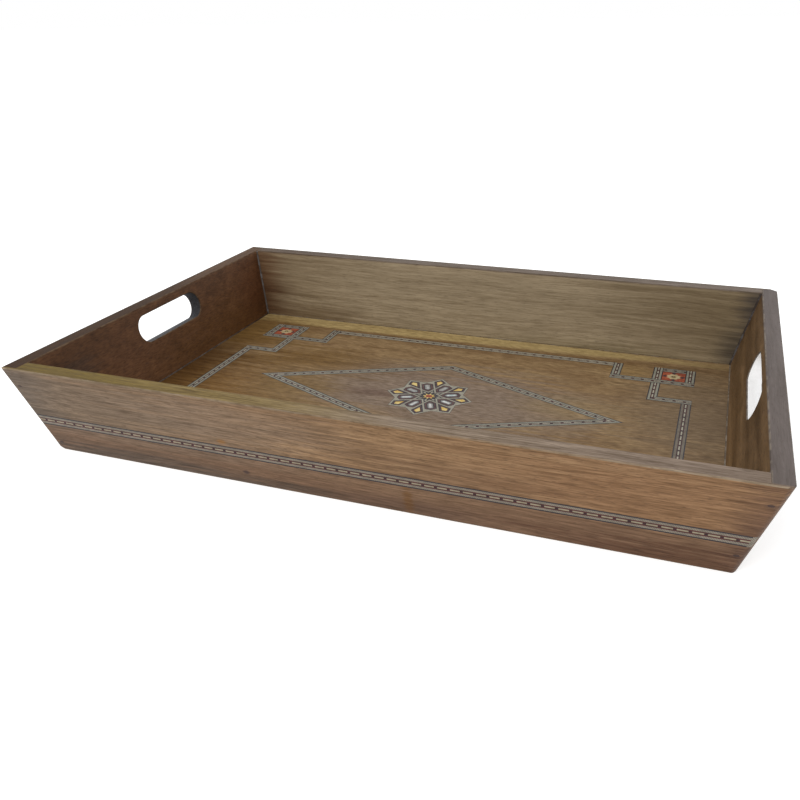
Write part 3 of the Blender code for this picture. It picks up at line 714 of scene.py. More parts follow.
# Painted highlight: the grey of the left corners' beads stands for the glint along the joint.
GREY_FILLER = Filler("grey_filler", "dark_wood", (0.082, 0.068, 0.060), (0.155, 0.142, 0.138))
WALL_FILLER = Filler("wall_filler", "dark_wood", (0.110, 0.076, 0.040), (0.150, 0.120, 0.090))
BRAD_PUTTY = Filler("brad_putty", "steel", (0.062, 0.038, 0.032), (0.105, 0.062, 0.045))
PANEL = Plywood("panel_plywood", "plywood", (0.30, 0.19, 0.10), (0.50, 0.35, 0.20))


# Mesh tools


def face_outwards(body: BMesh) -> None:
    """Turn the faces of every closed shell outwards.

    Args:
        body: The mesh.
    """
    bmesh.ops.recalc_face_normals(body, faces=body.faces)
    waiting = set(body.faces)
    while waiting:
        shell = [waiting.pop()]
        origin = shell[0].verts[0].co.copy()
        volume = 0.0
        for face in shell:
            volume += (face.verts[0].co - origin).dot(face.normal) * face.calc_area()
            for edge in face.edges:
                near = [other for other in edge.link_faces if other in waiting]
                waiting.difference_update(near)
                shell.extend(near)
        if volume < 0:
            bmesh.ops.reverse_faces(body, faces=shell)


def show(name: str, data: bpy.types.ID) -> Object:
    """Put data into the scene as an object.

    Args:
        name: The object's name.
        data: Its mesh, lamp or camera.

    Returns:
        The object.
    """
    made = bpy.data.objects.new(name, data)
    bpy.context.scene.collection.objects.link(made)
    return made


def as_mesh(name: str, body: BMesh) -> bpy.types.Mesh:
    """Turn a bmesh into a mesh.

    Args:
        name: The mesh's name.
        body: The bmesh, which is freed.

    Returns:
        The mesh.
    """
    mesh = bpy.data.meshes.new(name)
    body.to_mesh(mesh)
    body.free()
    return mesh


def finish_piece(name: str, body: BMesh, finishes: Sequence[Finish], *nodes: str) -> Object:
    """Turn a finished bmesh into a piece of the tray.

    Args:
        name: The piece's name.
        body: The mesh, which is freed.
        finishes: One finish for each material number in the mesh.
        nodes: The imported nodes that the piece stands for.

    Returns:
        The piece, riding on the tray.
    """
    face_outwards(body)
    piece = show(name, as_mesh(name, body))
    for finish in finishes:
        piece.data.materials.append(material_of(finish))
    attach(piece, "root")
    if nodes:
        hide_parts(*nodes)
    log.info("%s: %d faces", name, len(piece.data.polygons))
    return piece


def block(body: BMesh, place: Callable[[int, int, int], Vector]) -> list[BMVert]:
    """Add a six-sided block.

    Args:
        body: Where it is added.
        place: The corner for each choice of low or high side, as three numbers 0 or 1.

    Returns:
        The block's corners.
    """
    made = bmesh.ops.create_cube(body, size=1)["verts"]
    for vert in made:
        vert.co = place(*(int(part > 0) for part in vert.co))
    sides = {face for vert in made for face in vert.link_faces}
    bmesh.ops.recalc_face_normals(body, faces=list(sides))
    return made


def edges_where(body: BMesh, test: Callable[[Vector], bool]) -> list[BMEdge]:
    """The edges whose two ends both pass a test."""
    return [edge for edge in body.edges if all(test(vert.co) for vert in edge.verts)]


def ease(body: BMesh, edges: Iterable[BMEdge], width: float, finish: int = -1) -> None:
    """Round edges over.

    Args:
        body: The mesh.
        edges: The edges.
        width: How far the rounding reaches from the edge.
        finish: The material number of the rounding, or -1 for that of its neighbours.
    """
    bmesh.ops.bevel(
        body, geom=list(edges), offset=width, offset_type="OFFSET", segments=ROUNDING_STEPS,
        profile=0.5, affect="EDGES", material=finish,
    )


def trim(body: BMesh, cuts: Iterable[Cut], finish: int = 0) -> None:
    """Cut closed bodies off along planes, and close them again.

    Args:
        body: The mesh.
        cuts: A point on each plane, and the way that is cut off.
        finish: The material number of the cut faces.
    """
    for point, outward in cuts:
        geometry = [*body.verts, *body.edges, *body.faces]
        bmesh.ops.bisect_plane(
            body, geom=geometry, dist=CUT_SLACK, plane_co=point, plane_no=outward, clear_outer=True
        )
        open_edges = [edge for edge in body.edges if edge.is_boundary]
        for face in bmesh.ops.holes_fill(body, edges=open_edges, sides=0)["faces"]:
            face.material_index = finish
    bmesh.ops.dissolve_degenerate(body, dist=SHORTEST_EDGE, edges=body.edges)


def mark_rim(body: BMesh, finish: int) -> None:
    """Give the level faces along the top their own material number.

    Args:
        body: The mesh.
        finish: The material number.
    """
    for face in body.faces:
        if min(vert.co.z for vert in face.verts) > SHAPE.height - SHAPE.joint / 10:
            face.material_index = finish


def thicken(body: BMesh, faces: Iterable[BMFace], depth: Vector) -> None:
    """Grow flat faces into a closed body.

    Args:
        body: The mesh.
        faces: The faces, which stay as one side.
        depth: How far and which way the other side lies.
    """
    grown = bmesh.ops.extrude_face_region(body, geom=list(faces))
    moved = [part for part in grown["geom"] if isinstance(part, BMVert)]
    bmesh.ops.translate(body, verts=moved, vec=depth)


def loop_of(body: BMesh, outline: Outline, height: float) -> tuple[list[BMVert], list[BMEdge]]:
    """Draw a closed line on a level.

    Args:
        body: Where it is drawn.
        outline: Its corners.
        height: The level.

    Returns:
        The corners and the edges.
    """
    verts = [body.verts.new((x, y, height)) for x, y in outline]
    edges = [body.edges.new(pair) for pair in zip(verts, verts[1:] + verts[:1])]
    return verts, edges


def add_plate(
    body: BMesh,
    outline: Outline,
    top: float,
    thickness: float,
    finish: int = 0,
    holes: Sequence[Outline] = (),
    rings: Rings = (),
) -> None:
    """Add a flat plate of inlay.

    Args:
        body: Where it is added.
        outline: Its outer line, anticlockwise.
        top: The level of its upper face.
        thickness: How deep it goes.
        finish: The material number of its middle.
        holes: Openings through it.
        rings: Widths and material numbers of rings round its middle, from the outside in.
    """
    verts, edges = loop_of(body, outline, top)
    if holes:
        for hole in holes:
            edges += loop_of(body, hole, top)[1]
        filled = bmesh.ops.triangle_fill(body, edges=edges, use_beauty=True, normal=(0, 0, 1))
        faces = [part for part in filled["geom"] if isinstance(part, BMFace)]
    else:
        faces = [body.faces.new(verts)]
    body.normal_update()
    middle = list(faces)
    for width, ring_finish in rings:
        inset = bmesh.ops.inset_region(
            body, faces=middle, thickness=width, use_even_offset=True, use_boundary=True
        )
        for face in inset["faces"]:
            face.material_index = ring_finish
        faces += inset["faces"]
    for face in middle:
        face.material_index = finish
    thicken(body, faces, Vector((0, 0, -thickness)))


def carve(piece: Object, body: BMesh) -> None:
    """Cut a shape out of a piece for good.

    Args:
        piece: The piece.
        body: The cutter's mesh, which is freed.
    """
    face_outwards(body)
    cutter = show("cutter", as_mesh("cutter", body))
    modifier = piece.modifiers.new("carve", "BOOLEAN")
    modifier.operation = "DIFFERENCE"
    modifier.solver = "EXACT"
    modifier.object = cutter
    graph = bpy.context.evaluated_depsgraph_get()
    carved = bpy.data.meshes.new_from_object(piece.evaluated_get(graph))
    piece.modifiers.clear()
    carved.name = piece.data.name + "_carved"
    piece.data = carved
    bpy.data.objects.remove(cutter, do_unlink=True)


def wall_block(corner_at: Callable[[int, int, float], Point]) -> BMesh:
    """A block as high as the walls.

    Args:
        corner_at: The place in plan of each corner: low or high side along, the same across, and height.

    Returns:
        The block.
    """
    body = bmesh.new()
    levels = (0, SHAPE.height)
    block(body, lambda i, j, k: Vector((*corner_at(i, j, levels[k]), levels[k])))
    return body


# Outlines


def star(apothem: float, steps: int, turn: float = 0.0) -> Outline:
    """A star of eight points.

    Args:
        apothem: How far its edges' lines pass from the middle.
        steps: How many points further round each line ends.
        turn: The first point's angle from the first axis.

    Returns:
        The outline, anticlockwise.
    """
    tip = apothem / math.cos(steps * HALF_STEP)
    valley = apothem / math.cos((steps - 1) * HALF_STEP)
    return [
        (r * math.cos(turn + k * HALF_STEP), r * math.sin(turn + k * HALF_STEP))
        for k, r in enumerate([tip, valley] * POINTS)
    ]


def from_lines(lines: Sequence[Point]) -> Outline:
    """Find the corners where lines meet.

    Args:
        lines: Each line's outward angle and its distance from the middle, in order.

    Returns:
        The outline.
    """
    corners = []
    for (first, near), (second, far) in zip(lines, [*lines[1:], lines[0]]):
        turn = math.sin(second - first)
        x = (near * math.sin(second) - far * math.sin(first)) / turn
        y = (far * math.cos(first) - near * math.cos(second)) / turn
        corners.append((x, y))
    return corners


def polygon(radius: float, sides: int, turn: float = 0.0) -> Outline:
    """A regular outline round the middle."""
    angles = [turn + 2 * math.pi * step / sides for step in range(sides)]
    return [(radius * math.cos(a), radius * math.sin(a)) for a in angles]


def moved(outline: Outline, x: float, y: float) -> Outline:
    """An outline carried to a new middle."""
    return [(own_x + x, own_y + y) for own_x, own_y in outline]


# The tray's body


@dataclass(frozen=True)
class TrayShape:
    """The leaning box that the walls follow."""

    length: float = 500 * MM
    width: float = 340 * MM
    height: float = 69 * MM
    lean: float = math.radians(15.5)
    end_board: float = 11.4 * MM
    long_board: float = 10.8 * MM
    facing: float = 2.0 * MM
    joint: float = 0.3 * MM
    floor_top: float = 9.2 * MM
    corner_radii: Point = (1.6 * MM, 4.6 * MM)
    corner_facets: int = 6
    tip_radii: Point = (1.9 * MM, 2.8 * MM)
    tip_shares: tuple[Point, ...] = ((0.5, 0.2), (0.5, 0.45), (0.5, 0.7), (0.25, 0.35), (0.75, 0.35))

    def half_length(self, z: float) -> float:
        """Half the outer length at a height."""
        return self.length / 2 - (self.height - z) * math.tan(self.lean)

    def half_width(self, z: float) -> float:
        """Half the outer width at a height."""
        return self.width / 2 - (self.height - z) * math.tan(self.lean)

    def inner_half_length(self, z: float) -> float:
        """Half the length between the end boards at a height."""
        return self.half_length(z) - self.end_board / math.cos(self.lean)

    def core_half_width(self, z: float) -> float:
        """Half the width to the facings' backs at a height."""
        return self.half_width(z) - self.facing / math.cos(self.lean) - self.joint / 2

    def inner_half_width(self, z: float) -> float:
        """Half the width between the long boards at a height."""
        spans = (self.facing + self.long_board) / math.cos(self.lean)
        return self.half_width(z) - spans - self.joint

    def wall_frame(self, outward_x: int, outward_y: int) -> Matrix:
        """A frame on a wall's outer face.

        Args:
            outward_x: Which end the wall is at, or 0.
            outward_y: Which side the wall is on, or 0.

        Returns:
            Along the wall, down its slope and outwards, from the middle of its top outer edge.
        """
        level = Vector((outward_x, outward_y, 0))
        up = Vector((0, 0, 1))
        down = -level * math.sin(self.lean) - up * math.cos(self.lean)
        outward = level * math.cos(self.lean) - up * math.sin(self.lean)
        matrix = Matrix((down.cross(outward), down, outward)).transposed().to_4x4()
        half_x, half_y = self.length / 2, self.width / 2
        matrix.translation = Vector((outward_x * half_x, outward_y * half_y, self.height))
        return matrix

    def _outer_plane(self, outward_x: int, outward_y: int) -> tuple[Vector, Vector]:
        """A point on a wall's outer face, and the way the face looks."""
        matrix = self.wall_frame(outward_x, outward_y)
        return matrix.translation, matrix.col[2].to_3d()

    def end_plane(self, end: int) -> tuple[Vector, Vector]:
        """A point on an end board's outer face, and the way the face looks."""
        return self._outer_plane(end, 0)

    def core_plane(self, side: int) -> tuple[Vector, Vector]:
        """A point on the plane behind a facing, and the way the plane looks."""
        edge, outward = self._outer_plane(0, side)
        return edge - outward * (self.facing + self.joint / 2), outward

    def corner_cuts(self, side: int, end: int) -> list[Cut]:
        """The planes that round one upright corner in plan.

        Args:
            side: Which side the corner is on.
            end: Which end the corner is at.

        Returns:
            A point on each plane, and the way that is cut off.
        """
        shares = [((step + 0.5) / self.corner_facets, 0.0) for step in range(self.corner_facets)]
        return self._touching(side, end, self.corner_radii[(end + 1) // 2], 0.0, shares)

    def tip_cuts(self, side: int, end: int) -> list[Cut]:
        """The planes that knock off one tip of the rim. The left end has none.

        Args:
            side: Which side the tip is on.
            end: Which end the tip is at.

        Returns:
            A point on each plane, and the way that is cut off.
        """
        if end < 0:
            return []
        radius = self.tip_radii[(side + 1) // 2]
        return self._touching(side, end, radius, self.height - radius, self.tip_shares)

    def _touching(self, side: int, end: int, radius: float, z: float, shares: Sequence[Point]) -> list[Cut]:
        """Planes that touch a ball lying in a corner.

        Args:
            side: Which side the corner is on.
            end: Which end the corner is at.
            radius: The ball's radius.
            z: The height of its middle.
            shares: Each plane's turn from the end to the side, and its rise, in quarter turns.

        Returns:
            A point on each plane, and the way that is cut off.
        """
        inset = radius / math.cos(self.lean)
        centre = Vector((end * (self.half_length(z) - inset), side * (self.half_width(z) - inset), z))
        to_end, to_side = self._outer_plane(end, 0)[1], self._outer_plane(0, side)[1]
        cuts = []
        for turn, rise in ((part[0] * math.pi / 2, part[1] * math.pi / 2) for part in shares):
            level = (to_end * math.cos(turn) + to_side * math.sin(turn)).normalized()
            outward = (level * math.cos(rise) + Vector((0, 0, math.sin(rise)))).normalized()
            cuts.append((centre + outward * radius, outward))
        return cuts


SHAPE = TrayShape()


@dataclass(frozen=True)
class Band:
    """Where the inlaid bands lie on the walls' outer faces."""

    drop: float = 39.45 * MM
    width: float = 8.65 * MM
    depth: float = 1.0 * MM
    slack: float = 0.03 * MM

    def groove(self, outward_x: int, outward_y: int) -> BMesh:
        """Make the cutter of one wall's groove.

        Args:
            outward_x: Which end the wall is at, or 0.
            outward_y: Which side the wall is on, or 0.

        Returns:
            The cutter.
        """
        body = bmesh.new()
        drops = (self.drop - self.slack, self.drop + self.width + self.slack)
        depths = (-self.depth - self.slack, 4 * self.depth)
        matrix = SHAPE.wall_frame(outward_x, outward_y)
        block(body, lambda i, j, k: matrix @ Vector((WAYS[i] * SHAPE.length, drops[j], depths[k])))
        return body


BAND = Band()


@dataclass
class LongWall:
    """A long board between the end boards, and the facing over it."""

    name: str
    side: int
    edge: float = 0.9 * MM
    corners: tuple[Point, Point] = ((4.0 * MM, 1.0 * MM), (2.4 * MM, 1.3 * MM))

    def build(self) -> None:
        """Make the board and its facing."""
        self._board()
        self._facing()

    def _board(self) -> None:
        """Make the board."""
        body = wall_block(lambda i, j, z: (
            WAYS[i] * SHAPE.inner_half_length(z),
            self.side * (SHAPE.inner_half_width, SHAPE.core_half_width)[j](z),
        ))
        inner = SHAPE.inner_half_width(SHAPE.height) + self.edge
        rim = edges_where(body, lambda co: co.z > self.edge and abs(co.y) < inner)
        mark_rim(body, 1)
        ease(body, rim, self.edge, 1)
        finish_piece(self.name + "_wall", body, (LONG_BOARD, LONG_RIM), self.name + "_board")

    def _facing(self) -> None:
        """Make the facing, with its band's groove."""
        body = wall_block(lambda i, j, z: (
            WAYS[i] * SHAPE.half_length(z),
            self.side * (SHAPE.core_half_width, SHAPE.half_width)[j](z),
        ))
        for end, corners in zip(WAYS, self.corners):
            for top, radius in zip((False, True), corners):
                level = SHAPE.height * top
                near = edges_where(body, lambda co: co.x * end > 0 and abs(co.z - level) < self.edge)
                ease(body, self._crossing(near), radius)
        point, outward = SHAPE.core_plane(self.side)
        proud = SHAPE.facing - self.edge
        rims = edges_where(body, lambda co: (co - point).dot(outward) > proud)
        mark_rim(body, 1)
        ease(body, rims, self.edge, 2)
        for end in WAYS:
            trim(body, SHAPE.corner_cuts(self.side, end))
            trim(body, SHAPE.tip_cuts(self.side, end), 1)
        finishes = (FACING, LONG_RIM, LONG_RIM_WORN_AND_HIGHLIGHT)
        piece = finish_piece(self.name + "_face", body, finishes, self.name + "_facing")
        carve(piece, BAND.groove(0, self.side))

    def _crossing(self, edges: Iterable[BMEdge]) -> list[BMEdge]:
        """The edges that run through the facing's thickness."""
        return [edge for edge in edges if abs(edge.verts[0].co.y - edge.verts[1].co.y) > self.edge]


@dataclass
class EndWall:
    """An end board with its hand slot, whose arrises are rounded."""

    name: str
    end: int
    slot_length: float = 85.8 * MM
    slot_height: float = 22.4 * MM
    slot_drop: float = 18.2 * MM
    slot_edge: float = 0.8 * MM
    edge: float = 0.8 * MM
    foot_edges: Point = (3.6 * MM, 2.2 * MM)
    sides: int = 72
    broad_facing: float = 0.9

    def build(self) -> None:
        """Make the board."""
        body = wall_block(lambda i, j, z: (
            self.end * (SHAPE.inner_half_length, SHAPE.half_length)[i](z),
            WAYS[j] * SHAPE.core_half_width(z),
        ))
        mark_rim(body, 1)
        outer = SHAPE.inner_half_length(0) + self.edge
        rim = self._level_edges(body, SHAPE.height)
        foot = [edge for edge in self._level_edges(body, 0) if abs(edge.verts[0].co.x) > outer]
        ease(body, rim, self.edge, 2)
        ease(body, foot, self.foot_edges[(self.end + 1) // 2], 0)
        self._open_slot(body)
        for side in WAYS:
            trim(body, SHAPE.corner_cuts(side, self.end))
            trim(body, SHAPE.tip_cuts(side, self.end), 1)
        finishes = [walnuts[self.name] for walnuts in (END_BOARDS, END_RIMS, END_WORN_AND_HIGHLIGHT, SLOT_WALLS)]
        piece = finish_piece(self.name + "_wall", body, finishes, self.name + "_end_board")
        carve(piece, BAND.groove(self.end, 0))

    def _open_slot(self, body: BMesh) -> None:
        """Replace the two broad faces by ones with the hand slot through them.

        Args:
            body: The board.
        """
        body.normal_update()
        least = SHAPE.width * SHAPE.height / 2
        upright = [face for face in body.faces if abs(face.normal.x) > self.broad_facing]
        broad = [face for face in upright if face.calc_area() > least]
        broad.sort(key=lambda face: -abs(face.calc_center_median().x))
        frames = [list(face.edges) for face in broad]
        bmesh.ops.delete(body, geom=broad, context="FACES_ONLY")
        rings = self._slot_rings(body)
        wall = len(rings) // 2 - 1
        for number, (near, far) in enumerate(zip(rings, rings[1:])):
            for face in bmesh.ops.bridge_loops(body, edges=near + far)["faces"]:
                face.smooth = True
                face.material_index = 3 if number == wall else 2
        for edges, ring in zip(frames, (rings[0], rings[-1])):
            bmesh.ops.triangle_fill(body, edges=edges + ring, use_beauty=True)

    def _level_edges(self, body: BMesh, level: float) -> list[BMEdge]:
        """The edges on a level that run across the tray."""
        flat = edges_where(body, lambda co: abs(co.z - level) < self.edge / 8)
        return [edge for edge in flat if abs(edge.verts[0].co.y - edge.verts[1].co.y) > self.edge]

    def _slot_rings(self, body: BMesh) -> list[list[BMEdge]]:
        """Draw the slot's rings from the outer face to the inner one.

        Args:
            body: Where they are drawn.

        Returns:
            The edges of each ring.
        """
        drop = self.slot_drop + SHAPE.end_board * math.tan(SHAPE.lean)
        matrix = SHAPE.wall_frame(self.end, 0) @ Matrix.Translation((0, drop, 0))
        turns = [step * math.pi / 2 / ROUNDING_STEPS for step in range(ROUNDING_STEPS + 1)]
        arris = [((1 - math.sin(a)) * self.slot_edge, (1 - math.cos(a)) * self.slot_edge) for a in turns]
        rings = [(spread, -depth) for spread, depth in arris]
        rings += [(spread, depth - SHAPE.end_board) for spread, depth in reversed(arris)]
        return [self._slot_ring(body, matrix, spread, depth) for spread, depth in rings]

    def _slot_ring(self, body: BMesh, matrix: Matrix, spread: float, depth: float) -> list[BMEdge]:
        """Draw one ring of the slot.

        Args:
            body: Where it is drawn.
            matrix: The slot's frame on the outer face.
            spread: How far outside the slot's wall the ring lies.
            depth: How far along the frame's third direction it lies.

        Returns:
            The ring's edges.
        """
        radius = self.slot_height / 2
        made = bmesh.ops.create_circle(body, segments=self.sides, radius=radius + spread)["verts"]
        straight = self.slot_length / 2 - radius
        for vert in made:
            if abs(vert.co.x) > self.slot_edge / 100:
                vert.co.x += math.copysign(straight, vert.co.x)
            vert.co.z = depth
        bmesh.ops.transform(body, matrix=matrix, verts=made)
        return list({edge for vert in made for edge in vert.link_edges})


# Inlay strips


@dataclass(frozen=True)
class Lane:
    """One stick of a strip's sandwich: its share of the width, and its material number."""

    share: float
    finish: int
    dashed: bool = False


def sandwich(edge: float, bone: float, line: float, middle: float) -> tuple[Lane, ...]:
    """The lanes of a strip.

    Args:
        edge: The outer dark line's share of the width.
        bone: The bone stick's share.
        line: The russet line's share.
        middle: The dashed row's share.

    Returns:
        The lanes from one side to the other.
    """
    half = (Lane(edge, 2), Lane(bone, 0), Lane(line, 3))
    return (*half, Lane(middle, 1, dashed=True), *reversed(half))


FLOOR_LANES = sandwich(0.100, 0.210, 0.125, 0.130)
BAND_LANES = sandwich(0.110, 0.200, 0.125, 0.130)
FLOOR_FINISHES = (BONE, DASH, EBONY, RUSSET, PURPLE)
DIM_FINISHES = (DIM_BONE, DASH, EBONY, RUSSET, PURPLE)
SHEEN_LIT_FINISHES = (SHEEN_LIT_BONE, DASH, EBONY, RUSSET, PURPLE)
BAND_FINISHES = (BAND_BONE, BAND_DASH, EBONY, BAND_RUSSET, PURPLE)


@dataclass
class StripRun:
    """One straight run of strip, built from its sticks.

    Its frame's origin lies on the top face, at the start of the run's middle line. The first
    direction runs along, the second across and the third out of the surface.
    """

    matrix: Matrix
    length: float
    lanes: tuple[Lane, ...]
    width: float = 7.6 * MM
    depth: float = 1.0 * MM
    start: float = 0.0
    pitch: float = 7.8 * MM
    dash: float = 5.6 * MM
    cuts: Sequence[Cut] = ()
    block_finish: int = 4

    def add_to(self, body: BMesh) -> None:
        """Add the run's sticks to a mesh.

        Args:
            body: Where they are added.
        """
        run = bmesh.new()
        edge = -self.width / 2
        for lane in self.lanes:
            far = edge + lane.share * self.width
            if lane.dashed:
                self._dashes(run, edge, far, lane.finish)
            else:
                self._stick(run, (0, self.length), (edge, far), lane.finish)
            edge = far
        self._unroll(run)
        bmesh.ops.transform(run, matrix=self.matrix, verts=run.verts)
        trim(run, self.cuts)
        mesh = as_mesh("run", run)
        body.from_mesh(mesh)
        bpy.data.meshes.remove(mesh)

    def _stick(self, run: BMesh, along: Point, across: Point, finish: int) -> None:
        """Add one stick.

        Args:
            run: Where it is added.
            along: Where it starts and ends.
            across: Its two sides.
            finish: Its material number.
        """
        deep = (-self.depth, 0)
        made = block(run, lambda i, j, k: Vector((along[i], across[j], deep[k])))
        for face in {face for vert in made for face in vert.link_faces}:
            face.material_index = finish

    def _dashes(self, run: BMesh, low: float, high: float, finish: int) -> None:
        """Add the middle row: pale dashes with dark blocks between them.

        Args:
            run: Where they are added.
            low: The row's one side.
            high: The row's other side.
            finish: The dashes' material number.
        """
        place = self.start - self.pitch
        while place < self.length:
            gap = place + self.dash
            for near, far, own in ((place, gap, finish), (gap, place + self.pitch, self.block_finish)):
                span = (max(near, 0), min(far, self.length))
                if span[1] > span[0]:
                    self._stick(run, span, (low, high), own)
            place += self.pitch

    def _unroll(self, run: BMesh) -> None:
        """Lay the UV map along and across the run, in metres.

        Args:
            run: The sticks, before they are placed.
        """
        layer = run.loops.layers.uv.new("UVMap")
        for face in run.faces:
            for loop in face.loops:
                loop[layer].uv = (loop.vert.co.x, loop.vert.co.y)


def finish_runs(name: str, runs: Iterable[StripRun], finishes: Sequence[Finish], replaced: str) -> None:
    """Join runs of strip into one piece.

    Args:
        name: The piece's name.
        runs: The runs.
        finishes: One finish for each material number.
        replaced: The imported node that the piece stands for.
    """
    body = bmesh.new()
    for run in runs:
        run.add_to(body)
    finish_piece(name, body, finishes, replaced)


@dataclass
class WallBand:
    """The strip that is let into one wall's outer face."""

    name: str
    outward_x: int
    outward_y: int
    start: float = 6.5 * MM
    pitch: float = 8.06 * MM
    dash: float = 6.1 * MM

    def build(self) -> None:
        """Make the band, cut off at the wall's ends."""
        reach = max(SHAPE.length, SHAPE.width) / 2
        middle = Matrix.Translation((-reach, BAND.drop + BAND.width / 2, 0))
        plane = SHAPE.core_plane if self.outward_x else SHAPE.end_plane
        cuts = [plane(way) for way in WAYS]
        for way in WAYS:
            cuts += SHAPE.corner_cuts(self.outward_y or way, self.outward_x or way)
        run = StripRun(
            SHAPE.wall_frame(self.outward_x, self.outward_y) @ middle, 2 * reach, BAND_LANES,
            BAND.width, BAND.depth, self.start, self.pitch, self.dash, cuts,
        )
        finish_runs(self.name + "_wall_band", [run], BAND_FINISHES, self.name + "_band")


@dataclass
class FloorInlay:
    """The border, its corner frets and the rhombus."""

    half_length: float = 195.19 * MM
    half_width: float = 115.04 * MM
    strip: float = 7.6 * MM
    square: float = 33.4 * MM
    long_stop: float = 59.0 * MM
    short_stop: float = 60.6 * MM
    rhombus_x: float = 150.30 * MM
    rhombus_y: float = 65.00 * MM
    slack: float = 0.2 * MM
    overlap: float = 3.0

    def build(self) -> None:
        """Make every strip of the floor."""
        self._straight_strips()
        for name, side, end in CORNERS:
            self._fret(name, side, end)
            self._rhombus_side(name, side, end)

    def _run(
        self, first: Point, last: Point, quarter: Matrix, start: float, cuts: Sequence[Cut] = ()
    ) -> StripRun:
        """A run between two points of the right back quarter.

        Args:
            first: Where its middle line starts.
            last: Where its middle line ends.
            quarter: The mirror that carries it to its own quarter.
            start: Where its first dash starts.
            cuts: Planes that cut it off.

        Returns:
            The run.
        """
        near, far = Vector((*first, SHAPE.floor_top)), Vector((*last, SHAPE.floor_top))
        along = (far - near).normalized()
        up = Vector((0, 0, 1))
        matrix = Matrix((along, up.cross(along), up)).transposed().to_4x4()
        matrix.translation = near
        width = self.strip + self.slack
        return StripRun(quarter @ matrix, (far - near).length, FLOOR_LANES, width, start=start, cuts=cuts)

    def _quarter(self, side: int, end: int) -> Matrix:
        """The mirror that carries the right back quarter to another."""
        return Matrix.Diagonal((end, side, 1, 1))

    def _straight_strips(self) -> None:
        """Make the border's four straight strips."""
        half = self.strip / 2
        reach_x = self.half_length - self.long_stop - self.strip
        reach_y = self.half_width - self.short_stop - self.strip
        x, y = self.half_length - half, self.half_width - half
        for name, side in SIDES:
            run = self._run((-reach_x, y), (reach_x, y), self._quarter(side, 1), 2 * MM)
            # The back border takes the brighter bone, with its painted sheen.
            finishes = SHEEN_LIT_FINISHES if side > 0 else FLOOR_FINISHES
            finish_runs(name + "_border", [run], finishes, name + "_border_strip")
        for name, end in ENDS:
            run = self._run((x, -reach_y), (x, reach_y), self._quarter(1, end), 1 * MM)
            finishes = DIM_FINISHES if end > 0 else FLOOR_FINISHES
            finish_runs(name + "_border", [run], finishes, name + "_border_strip")

    def _fret(self, name: str, side: int, end: int) -> None:
        """Make one corner's stepped runs.

        Args:
            name: The corner's name.
            side: Its side of the tray.
            end: Its end of the tray.
        """
        wide, half = self.strip, self.strip / 2
        x, y = self.half_length, self.half_width
        leg_x, leg_y = x - self.long_stop, y - self.short_stop
        square_x, square_y = x - self.square, y - self.square
        top = square_y + wide
        quarter = self._quarter(side, end)
        bend = quarter @ Vector((square_x, leg_y - wide, 0))
        outward = quarter.to_3x3() @ Vector((1, -1, 0)).normalized()
        rows: Sequence[Row] = (
            ((leg_x - half, top), (leg_x - half, y), 2, ()),
            ((leg_x - wide, square_y + half), (x, square_y + half), 4, ()),
            ((square_x + half, top), (square_x + half, y), 5, ()),
            ((x - half, top), (x - half, y), 5, ()),
            ((square_x + wide, y - half), (x - wide, y - half), 3, ()),
            ((square_x + half, leg_y - wide), (square_x + half, square_y), 6, [(bend, outward)]),
            ((square_x, leg_y - half), (x, leg_y - half), 6, [(bend, -outward)]),
        )
        runs = [self._run(near, far, quarter, start * MM, cuts) for near, far, start, cuts in rows]
        finish_runs(name + "_fret", runs, FLOOR_FINISHES, name + "_corner_fret")

    def _rhombus_side(self, name: str, side: int, end: int) -> None:
        """Make one side of the rhombus, mitred on the middle lines.

        Args:
            name: The quarter's name.
            side: Its side of the tray.
            end: Its end of the tray.
        """
        quarter = self._quarter(side, end)
        slope = math.atan2(self.rhombus_y, self.rhombus_x)
        inward = Vector((-math.sin(slope), -math.cos(slope))) * self.strip / 2
        along = Vector((math.cos(slope), -math.sin(slope))) * self.strip * self.overlap
        near = Vector((0, self.rhombus_y)) + inward - along
        far = Vector((self.rhombus_x, 0)) + inward + along
        mitres = [(Vector(), quarter.to_3x3() @ Vector(way)) for way in ((-1, 0, 0), (0, -1, 0))]
        run = self._run(tuple(near), tuple(far), quarter, 3 * MM, mitres)
        finish_runs(name + "_rhombus", [run], FLOOR_FINISHES, name + "_rhombus_strip")


